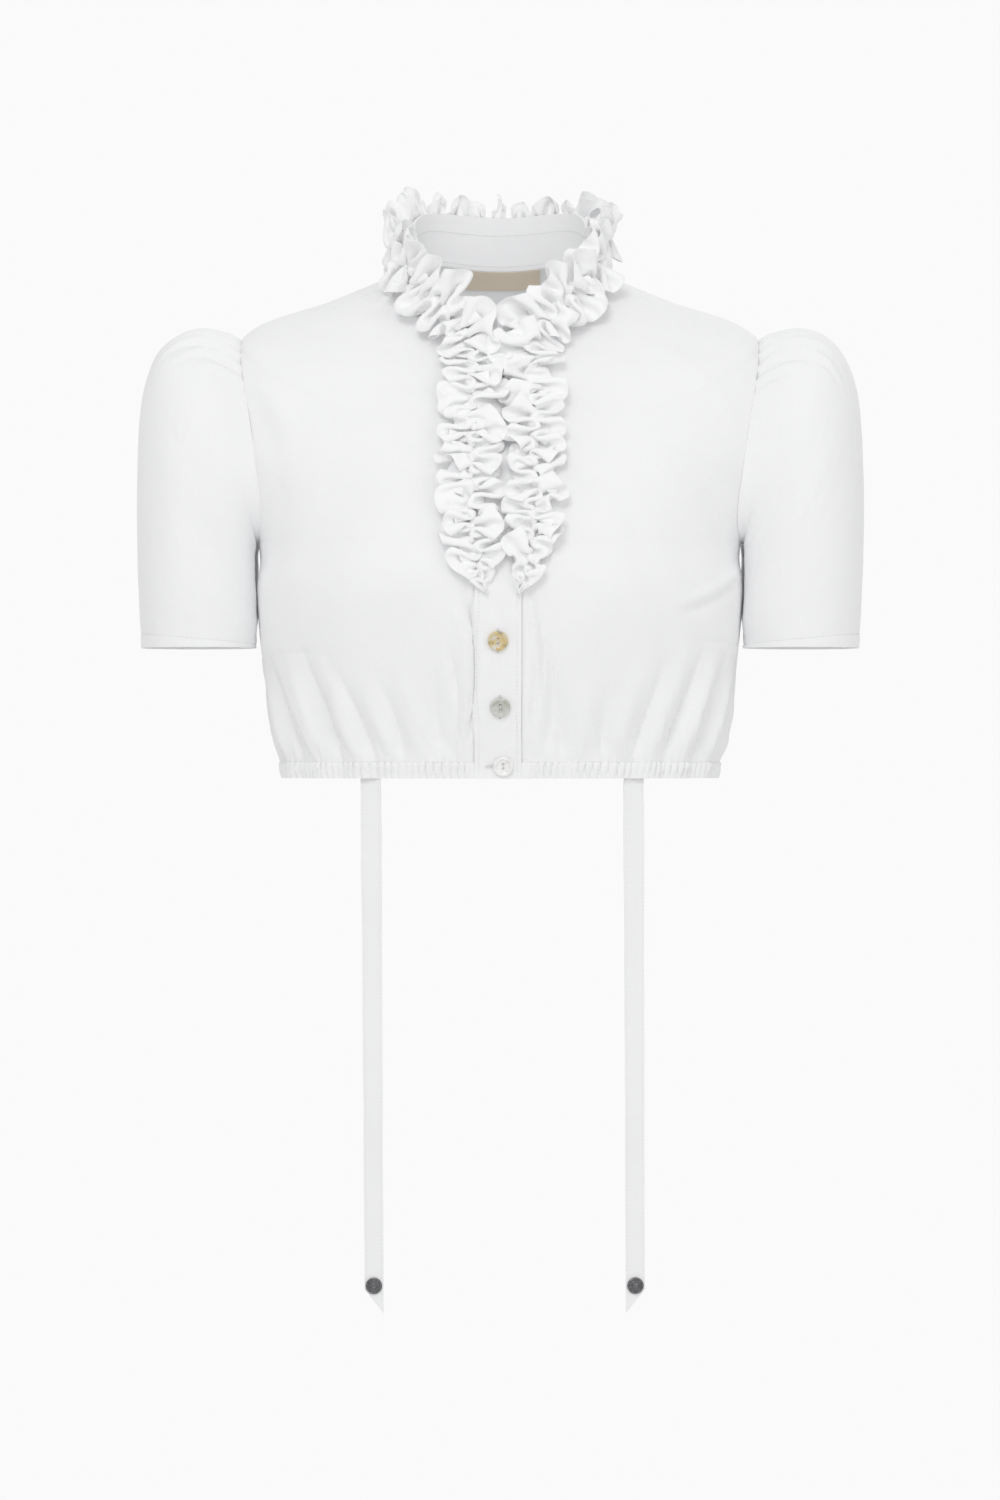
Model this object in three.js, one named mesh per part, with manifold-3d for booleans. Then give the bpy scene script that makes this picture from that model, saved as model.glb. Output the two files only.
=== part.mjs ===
// A short white dirndl blouse, filled out as if worn, in millimetres with +Z up.
// The wearer faces -Y and the wearer's left is at +X. The origin is in the middle of the
// neck, level with the top of the shoulder line, where the wearer carries the blouse.
import * as THREE from 'three';
import { mergeVertices } from 'three/addons/utils/BufferGeometryUtils.js';
import Module from 'manifold-3d';

const wasm = await Module();
wasm.setup();

// Walls and seams
const CLOTH = 1.2;
const COLLAR_WALL = 2.0;
const CASING_WALL = 1.8;
const RUFFLE_WALL = 1.0;
const RIBBON_WALL = 1.0;
const SEAM_GAP = 0.3;
const COLLAR_SEAM = 1.3; // from the neck edge up to the collar, clear of the sloping shoulder
const ARMHOLE_SEAM = 1.8; // from the armhole edge to the sleeve, clear of both walls' corners
const STEP = 1e-3; // for differences along a surface

// Front closing: the wearer's right front laps over the left one
const PLACKET_LEFT_X = -18.5;
const PLACKET_RIGHT_X = 15.5;
const BUTTON_DIAMETER = 14.5;
const BUTTON_HEIGHT = 2.6;
const BUTTON_HOLE = { radius: 0.85, fromCentre: 1.7 };

const DEGREE = Math.PI / 180;
const SIDE = Math.PI / 2; // a place round the body: 0 is the front, +SIDE the wearer's left, PI the back

// Rows of numbers with named columns
const table = (columns, ...rows) =>
  rows.map((row) => Object.fromEntries(columns.map((name, i) => [name, row[i]])));

// Sections of the bodice from the neck seam down to the hem
const BODICE = table(
  ['halfWidth', 'front', 'back', 'power', 'zFront', 'zSide', 'zBack'],
  [66, 64, 60, 2.0, -58, 8, 18], // neck seam
  [128, 73, 78, 2.2, -78, -14, -8], // halfway along the shoulder
  [191, 82, 92, 2.45, -105, -38, -50], // shoulder point
  [202, 99, 104, 2.4, -140, -105, -110], // middle of the armhole
  [178, 114, 108, 2.3, -188, -188, -188], // underarm
  [179, 119, 105, 2.3, -225, -225, -225], // bust
  [173, 110, 98, 2.2, -290, -290, -290], // midriff
  [161, 95, 90, 2.1, -349, -349, -349], // top of the elastic casing
  [159.5, 93, 88.5, 2.1, -361, -361, -361], // hem
);
const NECK = 0;
const SHOULDER = 2;
const UNDERARM = 4;
const CASING_TOP = 7;
const HEM = 8;
const ARMHOLE_HALF_ANGLE = 29 * DEGREE;

// Soft fullness that the bust darts give to each front
const CUP = { x: 84, z: -224, radius: 58, lift: 8 };

// Troughs that run up from the elastic: where each starts and how far it leans, in degrees
// round the body from the centre front, its height, half width in degrees and depth
const HEM_FOLDS = table(
  ['start', 'lean', 'height', 'width', 'depth'],
  [-82, -6, 70, 4.6, 3.0],
  [-64, -11, 86, 4.4, 4.6],
  [-45, -9, 96, 4.0, 5.0],
  [-33, -8, 76, 3.6, 3.6],
  [-24, -3, 62, 3.6, 3.0],
  [-15, 2, 88, 3.8, 3.2],
  [16, -6, 78, 3.6, 3.4],
  [26, -2, 64, 3.6, 2.6],
  [36, 5, 84, 3.8, 3.6],
  [47, 9, 94, 4.2, 4.4],
  [60, 11, 90, 4.4, 4.6],
  [77, 7, 76, 4.6, 3.4],
  [98, 4, 74, 4.6, 3.4],
  [113, 3, 92, 4.6, 4.2],
  [128, 3, 84, 4.4, 4.2],
  [144, 1, 70, 4.4, 3.4],
  [160, 0, 90, 4.4, 4.0],
  [178, -1, 78, 4.4, 3.6],
  [196, 1, 88, 4.4, 4.2],
  [213, -2, 72, 4.4, 3.4],
  [230, -3, 92, 4.4, 4.4],
  [246, -3, 80, 4.6, 3.8],
  [261, -4, 70, 4.6, 3.2],
);

// Sections of a sleeve in the plane of the shoulder: its outer and inner points
const SLEEVE = table(
  ['outerX', 'outerZ', 'innerX', 'innerZ', 'depth'],
  [191, -38, 178, -187, 56], // armhole
  [204, -35, 181.5, -188, 60],
  [222, -31.5, 184.5, -192, 64],
  [240, -35.5, 185.5, -199, 66],
  [254, -49, 185.3, -207, 67],
  [263, -74, 185, -216, 67],
  [267, -105, 184.8, -226, 67],
  [268.5, -155, 184.2, -238, 66],
  [268, -212, 183.6, -252, 64],
  [265.5, -265, 183.2, -265, 61], // hem
);
const SLEEVE_POWER = 2.15;
const EDGE_REACH = 2.5; // rows over which the armhole's shape turns into the sleeve's
const CAP_PLEATS = { count: 8, spread: 62 * DEGREE, depth: 2.6 };

// Collar band, from its top edge down to its seam
const COLLAR = table(
  ['halfWidth', 'front', 'back', 'power', 'zFront', 'zSide', 'zBack'],
  [64, 60, 62, 2.0, -23, 45, 58],
  [66, 64, 60, 2.0, -58 + COLLAR_SEAM, 8 + COLLAR_SEAM, 18 + COLLAR_SEAM],
);
const COLLAR_END_X = 2.2;

// Crimps in the elastic casing, on each front and on the back
const CRIMPS = { front: 22, back: 46, depth: 1.1, swell: 0.8 };

// Ruffle: one gathered strip each side, sewn along its middle, up the front and round the neck
const RUFFLE = {
  middleX: 1.9, // where the two strips meet
  fromMiddle: 23.4, // from there to a strip's sewn line
  tipShift: 11, // how far the lower end turns in
  frontHalfWidth: 21,
  collarHalfWidth: 25,
  tipHalfWidth: 2.5,
  taper: 42, // length of the pointed lower end
  loop: 22.5, // length of seam to each wave
  uneven: 0.9, // how far the waves drift from an even spacing, in radians
  innerPhase: 2.2, // how far the inner edge's waves are ahead of the outer edge's
  rise: 8.2, // half height of a wave at the edge
  frontLift: 3, // least height of the edge
  collarLift: 8,
  curl: 2.2, // sideways swing of a wave, which makes it lean over itself
  pull: 1.8, // half of how far a wave draws the edge in
  bendTightness: 0.7, // share of a wave that is lost on the inside of the bend
  samples: 6, // columns to each wave
};
const RUFFLE_FRONT_Z = [-216, -200, -175, -148, -121, -94, -72];
// The sewn line on the collar: degrees round it, and the share of its height from its top edge
const RUFFLE_COLLAR = table(
  ['angle', 'share'],
  [21.5, 0.85],
  [27, 0.5],
  [38, 0.37],
  [53, 0.33],
  [71, 0.32],
  [89, 0.32],
  [107, 0.32],
  [125, 0.32],
  [143, 0.32],
  [161, 0.32],
  [170, 0.32],
  [179.2, 0.32],
);
const RUFFLE_AT_SEAM = 0.9; // how much further out it lies where it crosses the neck seam

// Ribbons sewn inside the front casing, at each height from the casing down
const RIBBON = table(
  ['z', 'width', 'turn', 'sway'],
  [-351.5, 15.4, 22, 0],
  [-372, 15.6, 20, 0],
  [-420, 15.4, 11, 1.6],
  [-480, 14.8, 17, 2.4],
  [-545, 14.4, 4, 1.0],
  [-610, 14.2, 14, -1.0],
  [-675, 14.0, 5, 0.4],
  [-734, 13.9, 8, 1.0],
);
const RIBBONS = table(
  ['name', 'x', 'drift', 'side'],
  ['right', -94.7, 2.9, -1],
  ['left', 97.3, 1.5, 1],
);
const RIBBON_POINT = 17; // how far the slanted end drops, on the edge nearer the middle
const INSIDE_CASING = 2.8; // from the casing's middle surface in to the ribbon's
const RIVET_ROW = 6.77; // of the ribbon's table
const RIVET_DIAMETER = 12;

// Buttons, from the top one down
const BUTTONS = table(
  ['name', 'x', 'z'],
  ['button_top', -1.5, -261],
  ['button_middle', 0, -308.6],
  ['button_hem', 2.2, -351.5],
);

// Neck label, in rows of the bodice's table
const LABEL = { halfWidth: 30, top: 0.04, bottom: 0.6, wall: 0.8 };

const WHITE = 0xf2f2f2;
const poplin = new THREE.MeshStandardMaterial({ color: WHITE, roughness: 0.85, metalness: 0 });
const batiste = new THREE.MeshStandardMaterial({ color: 0xf4f4f4, roughness: 0.8, metalness: 0 });
const nacre = new THREE.MeshStandardMaterial({ color: 0xd9d6cb, roughness: 0.25, metalness: 0 });
const beige = new THREE.MeshStandardMaterial({ color: 0xcdbda5, roughness: 0.8, metalness: 0 });
const steel = new THREE.MeshStandardMaterial({ color: 0x8f9294, roughness: 0.35, metalness: 1 });

const { clamp, lerp } = THREE.MathUtils;
const smoothStep = (from, to, value) => THREE.MathUtils.smoothstep(value, from, to);
const span = (from, to, count) =>
  Array.from({ length: count + 1 }, (_, i) => from + ((to - from) * i) / count);
const signedPower = (value, power) => Math.sign(value) * Math.abs(value) ** power;

// The row at a fractional place in a table, on a smooth curve through its rows
function rowAt(rows, place) {
  const last = rows.length - 1;
  const index = clamp(Math.floor(place), 0, last - 1);
  const f = place - index;
  const [a, b, c, d] = [-1, 0, 1, 2].map((k) => rows[clamp(index + k, 0, last)]);
  const row = {};
  for (const name of Object.keys(b)) {
    const slopeB = (c[name] - a[name]) / 2;
    const slopeC = (d[name] - b[name]) / 2;
    row[name] = b[name] * (2 * f ** 3 - 3 * f ** 2 + 1) + slopeB * (f ** 3 - 2 * f ** 2 + f)
      + c[name] * (3 * f ** 2 - 2 * f ** 3) + slopeC * (f ** 3 - f ** 2);
  }
  return row;
}

// A point on a section round the body, whose height follows its front, side and back heights
function ringPoint(section, angle) {
  const sine = Math.sin(angle);
  const cosine = Math.cos(angle);
  const depth = cosine > 0 ? section.front : section.back;
  const ends = (section.zFront + section.zBack) / 2;
  return new THREE.Vector3(
    section.halfWidth * signedPower(sine, 2 / section.power),
    -depth * signedPower(cosine, 2 / section.power),
    (ends + section.zSide) / 2 + ((section.zFront - section.zBack) / 2) * cosine
      + ((ends - section.zSide) / 2) * Math.cos(2 * angle),
  );
}

// The place round the body where a section of the front half reaches x
function angleAtX(section, x) {
  return Math.asin(signedPower(x / section.halfWidth, section.power / 2));
}

// How far the hem's gathers push the cloth out at a place and height
function foldLift(angle, z) {
  const rise = z - BODICE[CASING_TOP].zSide;
  let lift = 0;
  for (const fold of HEM_FOLDS) {
    const share = Math.max(rise, 0) / fold.height;
    if (share >= 1) continue;
    const away = Math.abs(((angle / DEGREE - fold.start - fold.lean * share + 540) % 360) - 180);
    const profile = (0.3 + 0.7 * smoothStep(0, 0.22, share)) * (1 - smoothStep(0.3, 1, share));
    lift -= fold.depth * profile * (Math.exp(-((away / fold.width) ** 2))
      - 0.45 * Math.exp(-(((away - 2 * fold.width) / fold.width) ** 2)));
  }
  return lift;
}

// How far the darts let each front stand out
function cupLift(x, z, angle) {
  const distance = ((Math.abs(x) - CUP.x) ** 2 + (z - CUP.z) ** 2) / CUP.radius ** 2;
  return Math.cos(angle) > 0 ? CUP.lift * Math.exp(-distance) * smoothStep(0, 0.4, Math.cos(angle)) : 0;
}

// The bodice's middle surface, at an angle round the body and a fractional row of its table
function bodice(angle, level) {
  const section = rowAt(BODICE, level);
  const point = ringPoint(section, angle);
  const depth = Math.cos(angle) > 0 ? section.front : section.back;
  const outward = new THREE.Vector3(
    signedPower(point.x / section.halfWidth, section.power - 1) / section.halfWidth,
    signedPower(point.y / depth, section.power - 1) / depth,
    0,
  ).normalize();
  const lift = foldLift(angle, point.z) + cupLift(point.x, point.z, angle);
  return point.addScaledVector(outward, lift);
}

const collar = (angle, share) => ringPoint(rowAt(COLLAR, share), angle);

// The unit normal of a surface whose first direction runs round the body and whose second
// runs down it
function normalAt(surface, u, v) {
  const round = surface(u + STEP, v).sub(surface(u - STEP, v));
  const down = surface(u, v + STEP).sub(surface(u, v - STEP));
  return down.cross(round).normalize();
}

// A surface moved out along its own normal
const movedOut = (surface, distance) => (u, v) =>
  surface(u, v).addScaledVector(normalAt(surface, u, v), distance);

// The outer and inner faces of a wall about a surface
const facesOf = (surface, wall) => [movedOut(surface, wall / 2), movedOut(surface, -wall / 2)];

// Faces whose places are found by another function of the grid's column and row
const placedBy = (place, faces) => faces.map((face) => (u, v) => face(...place(u, v)));

// A closed mesh from points and faces, turned so that its faces point out
function closedGeometry(points, faces) {
  const volume = faces.reduce((sum, [a, b, c]) =>
    sum + points[a].dot(points[b].clone().cross(points[c])), 0);
  const geometry = new THREE.BufferGeometry();
  geometry.setAttribute('position',
    new THREE.Float32BufferAttribute(points.flatMap((p) => p.toArray()), 3));
  geometry.setIndex(faces.flatMap(([a, b, c]) => (volume < 0 ? [a, c, b] : [a, b, c])));
  geometry.computeVertexNormals();
  return geometry;
}

// A wall of cloth between two faces, over a grid of columns and rows, closed round its edges.
// In a ring the last column joins the first.
function wallGeometry(faces, columns, rows, ring = false) {
  const points = faces.flatMap((face) => columns.flatMap((u) => rows.map((v) => face(u, v))));
  const layer = columns.length * rows.length;
  const at = (i, j, side) => side * layer + (i % columns.length) * rows.length + j;
  const triangles = [];
  const quad = (a, b, c, d) => triangles.push([a, b, c], [a, c, d]);
  const across = ring ? columns.length : columns.length - 1;
  const end = rows.length - 1;
  for (let i = 0; i < across; i += 1) {
    for (let j = 0; j < end; j += 1) {
      quad(at(i, j, 0), at(i + 1, j, 0), at(i + 1, j + 1, 0), at(i, j + 1, 0));
      quad(at(i, j, 1), at(i, j + 1, 1), at(i + 1, j + 1, 1), at(i + 1, j, 1));
    }
    quad(at(i, 0, 0), at(i, 0, 1), at(i + 1, 0, 1), at(i + 1, 0, 0));
    quad(at(i, end, 0), at(i + 1, end, 0), at(i + 1, end, 1), at(i, end, 1));
  }
  for (let j = 0; j < end && !ring; j += 1) {
    quad(at(0, j, 0), at(0, j + 1, 0), at(0, j + 1, 1), at(0, j, 1));
    quad(at(across, j, 0), at(across, j, 1), at(across, j + 1, 1), at(across, j + 1, 0));
  }
  return closedGeometry(points, triangles);
}

const blouse = new THREE.Group();

function addPiece(name, geometry, material) {
  const mesh = new THREE.Mesh(geometry, material);
  mesh.name = name;
  blouse.add(mesh);
  return mesh;
}

// Half the angle that the armhole, or else the side seam's gap, takes from a panel
function sideAngle(level, depthName) {
  const section = rowAt(BODICE, level);
  const seam = (SEAM_GAP / 2 / section[depthName]) ** (section.power / 2);
  const place = ((level - SHOULDER) / (UNDERARM - SHOULDER)) * 2 - 1;
  return Math.max(seam, ARMHOLE_HALF_ANGLE * Math.sqrt(Math.max(0, 1 - place ** 2)));
}

// The row of the bodice's table that a turn round the armhole from the shoulder point reaches
const armholeLevel = (turn) => SHOULDER + ((UNDERARM - SHOULDER) * (1 - Math.cos(turn))) / 2;

// Places on the bodice at an x on its front or its back
const frontPlace = (x, level) => [angleAtX(rowAt(BODICE, level), x), level];
const backPlace = (x, level) => [Math.PI - frontPlace(x, level)[0], level];

// The row of the bodice's table where its front is at x and z, found by halving
function levelAt(x, z) {
  let [above, below] = [NECK, HEM];
  for (let i = 0; i < 30; i += 1) {
    const middle = (above + below) / 2;
    if (bodice(...frontPlace(x, middle)).z > z) above = middle;
    else below = middle;
  }
  return above;
}

// Bodice panels: each lies between two edges, whose angles follow the row
const PANEL_ROWS = [
  ...span(NECK, SHOULDER, 3),
  ...span(0, Math.PI, 8).slice(1).map(armholeLevel),
  ...span(UNDERARM, CASING_TOP, 7).slice(1),
];
const atX = (x) => (level) => frontPlace(x, level)[0];
const frontSide = (level) => SIDE - sideAngle(level, 'front');
const backSide = (level) => SIDE + sideAngle(level, 'back');
const PANELS = table(
  ['name', 'from', 'to', 'columns'],
  ['front_right', (level) => -frontSide(level), atX(PLACKET_LEFT_X - SEAM_GAP / 2), 20],
  ['front_left', atX(PLACKET_RIGHT_X + SEAM_GAP / 2), frontSide, 20],
  ['back', backSide, (level) => 2 * Math.PI - backSide(level), 26],
);
for (const panel of PANELS) {
  const place = (share, level) =>
    [panel.from(level) + (panel.to(level) - panel.from(level)) * share, level];
  const faces = placedBy(place, facesOf(bodice, CLOTH));
  addPiece(panel.name, wallGeometry(faces, span(0, 1, panel.columns), PANEL_ROWS), poplin);
}

// Placket over the closing, and under it the band that the buttons are sewn to
const ON_FRONT = CLOTH + SEAM_GAP;
const PLACKET_ROWS = [...span(NECK, UNDERARM, 6), ...span(UNDERARM, HEM, 8).slice(1)];
function addFrontBand(name, fromX, toX, lift) {
  const faces = placedBy(frontPlace, facesOf(movedOut(bodice, lift), CLOTH));
  addPiece(name, wallGeometry(faces, span(fromX, toX, 3), PLACKET_ROWS), poplin);
}
addFrontBand('placket', PLACKET_LEFT_X, PLACKET_RIGHT_X, ON_FRONT);
addFrontBand('button_band', PLACKET_LEFT_X + SEAM_GAP / 2, PLACKET_RIGHT_X - SEAM_GAP / 2, 0);

// A curve measured by its length: the whole length, and the place that a length reaches
function measured(pointAt, from, to) {
  const places = span(from, to, 300);
  const lengths = [0];
  places.slice(1).forEach((place, i) =>
    lengths.push(lengths[i] + pointAt(place).distanceTo(pointAt(places[i]))));
  const placeAt = (length) => {
    const next = clamp(lengths.filter((reached) => reached < length).length, 1, places.length - 1);
    const share = (length - lengths[next - 1]) / (lengths[next] - lengths[next - 1]);
    return lerp(places[next - 1], places[next], share);
  };
  return { length: lengths.at(-1), placeAt };
}

// Elastic casing, crimped: every other column stands out, by an uneven depth
function addCasing(name, from, to, crimps) {
  const { length, placeAt } = measured((angle) => ringPoint(BODICE[CASING_TOP], angle), from, to);
  const surface = (column, level) => {
    const angle = placeAt((length * column) / (2 * crimps));
    const swell = Math.sin((level - CASING_TOP) * Math.PI);
    const uneven = 0.8 + 0.2 * Math.sin(2.3 * Math.round(column));
    const depth = CRIMPS.depth * uneven * (0.55 + 0.45 * swell);
    const lift = CRIMPS.swell * swell + depth * Math.cos(column * Math.PI);
    return movedOut(bodice, lift)(angle, level);
  };
  const columns = span(0, 2 * crimps, 2 * crimps);
  addPiece(name, wallGeometry(facesOf(surface, CASING_WALL), columns, CASING_ROWS), poplin);
}
const casingTopZ = BODICE[CASING_TOP].zFront - SEAM_GAP;
const CASING_ROWS = span(casingTopZ, BODICE[HEM].zFront, 2).map((z) => levelAt(0, z));
const casingSide = SIDE - sideAngle(CASING_TOP, 'front');
const casingEnds = [PLACKET_LEFT_X - SEAM_GAP, PLACKET_RIGHT_X + SEAM_GAP]
  .map((x) => angleAtX(BODICE[CASING_TOP], x));
addCasing('casing_right', -casingSide, casingEnds[0], CRIMPS.front);
addCasing('casing_left', casingEnds[1], casingSide, CRIMPS.front);
addCasing('casing_back', Math.PI - casingSide, Math.PI + casingSide, CRIMPS.back);

// The armhole's edge on the wearer's left, moved into the hole by the seam's clearance.
// A turn of 0 is the shoulder point and a quarter turn the front of the arm.
function armholeEdge(turn) {
  const edge = (t) => bodice(SIDE - ARMHOLE_HALF_ANGLE * Math.sin(t), armholeLevel(t));
  const along = edge(turn + STEP).sub(edge(turn - STEP));
  const normal = normalAt(bodice, SIDE - ARMHOLE_HALF_ANGLE * Math.sin(turn), armholeLevel(turn));
  return edge(turn).addScaledVector(normal.cross(along).normalize(), ARMHOLE_SEAM);
}

// The sleeve's middle surface: a side of +1 is the wearer's left
function sleeve(side) {
  const plainPoint = (turn, level, lift) => {
    const row = rowAt(SLEEVE, level);
    const up = new THREE.Vector3((row.outerX - row.innerX) / 2, 0, (row.outerZ - row.innerZ) / 2);
    const middle = new THREE.Vector3((row.outerX + row.innerX) / 2, 0, (row.outerZ + row.innerZ) / 2);
    const radial = up.multiplyScalar(signedPower(Math.cos(turn), 2 / SLEEVE_POWER));
    radial.y = -row.depth * signedPower(Math.sin(turn), 2 / SLEEVE_POWER);
    return middle.add(radial).addScaledVector(radial.normalize(), lift);
  };
  return (u, level) => {
    const turn = -side * u;
    const nearest = Math.atan2(Math.sin(turn), Math.cos(turn));
    const inSpread = 1 - smoothStep(0.7, 1, Math.abs(nearest) / CAP_PLEATS.spread);
    const offSeam = smoothStep(0, 0.8, level);
    const alongCap = (0.4 + 0.6 * offSeam) * (1 - smoothStep(1.2, 4.6, level));
    const wave = Math.cos((nearest / CAP_PLEATS.spread) * CAP_PLEATS.count * Math.PI);
    const lift = CAP_PLEATS.depth * inSpread * (alongCap * wave - 0.4 * (1 - offSeam));
    const point = plainPoint(turn, level, lift);
    const toEdge = armholeEdge(turn).sub(plainPoint(turn, 0, 0));
    point.addScaledVector(toEdge, Math.max(0, 1 - level / EDGE_REACH) ** 2);
    point.x *= side;
    return point;
  };
}
const SLEEVE_ROWS = [0, 0.5, 1, 1.6, 2.3, 3.2, 4.3, 5.6, 7.2, 9];
const SLEEVE_COLUMNS = [
  ...span(-CAP_PLEATS.spread, CAP_PLEATS.spread, 4 * CAP_PLEATS.count),
  ...span(CAP_PLEATS.spread, 2 * Math.PI - CAP_PLEATS.spread, 12).slice(1, -1),
];
for (const [name, side] of [['sleeve_right', -1], ['sleeve_left', 1]]) {
  const faces = facesOf(sleeve(side), CLOTH);
  addPiece(name, wallGeometry(faces, SLEEVE_COLUMNS, SLEEVE_ROWS, true), poplin);
}

// Collar band, a ring that is open at the front
const collarEnd = angleAtX(COLLAR[0], COLLAR_END_X);
addPiece('collar_band', wallGeometry(facesOf(collar, COLLAR_WALL),
  span(collarEnd, 2 * Math.PI - collarEnd, 44), [0, 1]), poplin);

// Stations along a ruffle's sewn line, from its lower tip to the centre back, with normals
function ruffleStations(side) {
  const onPlacket = ON_FRONT + CLOTH / 2 + SEAM_GAP + RUFFLE_WALL / 2;
  const front = RUFFLE_FRONT_Z.map((z) => {
    const turnedIn = RUFFLE.tipShift * (1 - smoothStep(0, RUFFLE.taper, z - RUFFLE_FRONT_Z[0]));
    const x = RUFFLE.middleX + side * (RUFFLE.fromMiddle - turnedIn);
    const place = frontPlace(x, levelAt(x, z));
    return [movedOut(bodice, onPlacket)(...place), normalAt(bodice, ...place)];
  });
  const onCollar = COLLAR_WALL / 2 + SEAM_GAP + RUFFLE_WALL / 2;
  const neck = RUFFLE_COLLAR.map(({ angle, share }) => {
    const place = [side * angle * DEGREE, share];
    const distance = onCollar + RUFFLE_AT_SEAM * smoothStep(0.32, 0.6, share);
    return [movedOut(collar, distance)(...place), normalAt(collar, ...place)];
  });
  return [...front, ...neck].map(([point, normal]) => ({
    x: point.x, y: point.y, z: point.z, nx: normal.x, ny: normal.y, nz: normal.z,
  }));
}

// The gathered strip's middle surface: u is the length along the sewn line and v runs across
// it, from -1 at the outer or lower edge to 1 at the inner or upper one
function ruffle(side) {
  const stations = ruffleStations(side);
  const pointAt = (place) => {
    const { x, y, z } = rowAt(stations, place);
    return new THREE.Vector3(x, y, z);
  };
  const { length, placeAt } = measured(pointAt, 0, stations.length - 1);
  const surface = (u, v) => {
    const place = placeAt(u);
    const { nx, ny, nz } = rowAt(stations, place);
    const normal = new THREE.Vector3(nx, ny, nz).normalize();
    const along = pointAt(place + STEP).sub(pointAt(place - STEP)).normalize();
    const across = normal.clone().cross(along).normalize().multiplyScalar(side);
    const onCollar = smoothStep(-1, 2, place - RUFFLE_FRONT_Z.length);
    const tip = Math.sin(Math.min(1, u / RUFFLE.taper) * (Math.PI / 2));
    const half = lerp(RUFFLE.tipHalfWidth, lerp(RUFFLE.frontHalfWidth, RUFFLE.collarHalfWidth, onCollar), tip);
    const edge = Math.abs(v) ** 1.25 * tip;
    const turn = (2 * Math.PI * u) / RUFFLE.loop + RUFFLE.uneven * Math.sin(u / 31 + side)
      + (v > 0 ? RUFFLE.innerPhase : 0);
    const bend = Math.exp(-(((place - RUFFLE_FRONT_Z.length - 1.5) / 2.2) ** 2));
    const swing = 1 - RUFFLE.bendTightness * bend * Math.max(0, -v);
    const curl = RUFFLE.curl * swing * smoothStep(0, 8, length - u) * Math.sin(2 * turn);
    const height = lerp(RUFFLE.frontLift, RUFFLE.collarLift, onCollar)
      + RUFFLE.rise * swing * (1 + Math.cos(turn));
    return pointAt(place)
      .addScaledVector(across, v * half - Math.sign(v) * edge * RUFFLE.pull * (1 + Math.sin(turn)))
      .addScaledVector(along, edge * curl)
      .addScaledVector(normal, edge * height);
  };
  return { surface, length };
}
const RUFFLE_ROWS = [-1, -0.55, 0, 0.55, 1];
for (const [name, side] of [['ruffle_right', -1], ['ruffle_left', 1]]) {
  const { surface, length } = ruffle(side);
  const columns = span(0.5, length, Math.round((length / RUFFLE.loop) * RUFFLE.samples));
  addPiece(name, wallGeometry(facesOf(surface, RUFFLE_WALL), columns, RUFFLE_ROWS), batiste);
}

// Ribbons that hang from the front casing, with a slanted lower end
function ribbon({ x, drift, side }) {
  const last = RIBBON.length - 1;
  const top = bodice(...frontPlace(x, CASING_TOP + 0.5));
  return (across, place) => {
    const row = rowAt(RIBBON, place);
    const turn = side * row.turn * DEGREE;
    const slant = Math.max(0, place - last + 1) * RIBBON_POINT * (1 - side * across) / 2;
    return new THREE.Vector3(
      x + (drift * place) / last + (across * row.width * Math.cos(turn)) / 2,
      top.y + INSIDE_CASING + row.sway + (across * row.width * Math.sin(turn)) / 2,
      row.z - slant,
    );
  };
}

// Solids for the library of booleans, and back
function solidOf(geometry) {
  geometry.deleteAttribute('normal');
  geometry.deleteAttribute('uv');
  const merged = mergeVertices(geometry, STEP);
  return new wasm.Manifold(new wasm.Mesh({
    numProp: 3,
    vertProperties: merged.attributes.position.array,
    triVerts: new Uint32Array(merged.index.array),
  }));
}
function geometryOf(solid) {
  const { vertProperties, triVerts } = solid.getMesh();
  const geometry = new THREE.BufferGeometry();
  geometry.setAttribute('position', new THREE.BufferAttribute(vertProperties, 3));
  geometry.setIndex(new THREE.BufferAttribute(triVerts, 1));
  geometry.computeVertexNormals();
  return geometry;
}

// A solid turned about +Z, from points of its profile: radius and height
const turned = (profile, sides) => solidOf(
  new THREE.LatheGeometry(profile.map(([r, h]) => new THREE.Vector2(r, h)), sides)
    .rotateX(Math.PI / 2));

// Stands a solid on a surface at a place and a distance, with its +Z along the normal
function addOnSurface(name, solid, surface, place, distance, material) {
  const mesh = addPiece(name, geometryOf(solid), material);
  mesh.position.copy(movedOut(surface, distance)(...place));
  mesh.quaternion.setFromUnitVectors(new THREE.Vector3(0, 0, 1), normalAt(surface, ...place));
}

// A dished button with a rim and two holes, one above the other
const buttonRadius = BUTTON_DIAMETER / 2;
let button = turned([
  [0, 0],
  [buttonRadius - 1, 0],
  [buttonRadius, 0.9],
  [buttonRadius - 0.5, BUTTON_HEIGHT - 0.3],
  [buttonRadius - 1.4, BUTTON_HEIGHT],
  [buttonRadius - 2.9, 1.6],
  [0, 1.5],
], 22);
for (const y of [-BUTTON_HOLE.fromCentre, BUTTON_HOLE.fromCentre]) {
  const drill = new THREE.CylinderGeometry(BUTTON_HOLE.radius, BUTTON_HOLE.radius, 4 * BUTTON_HEIGHT, 8);
  button = button.subtract(solidOf(drill.rotateX(Math.PI / 2).translate(0, y, 0)));
}
for (const { name, x, z } of BUTTONS) {
  const place = frontPlace(x, levelAt(x, z));
  addOnSurface(name, button, bodice, place, ON_FRONT + CLOTH / 2 + SEAM_GAP, nacre);
}

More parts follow.
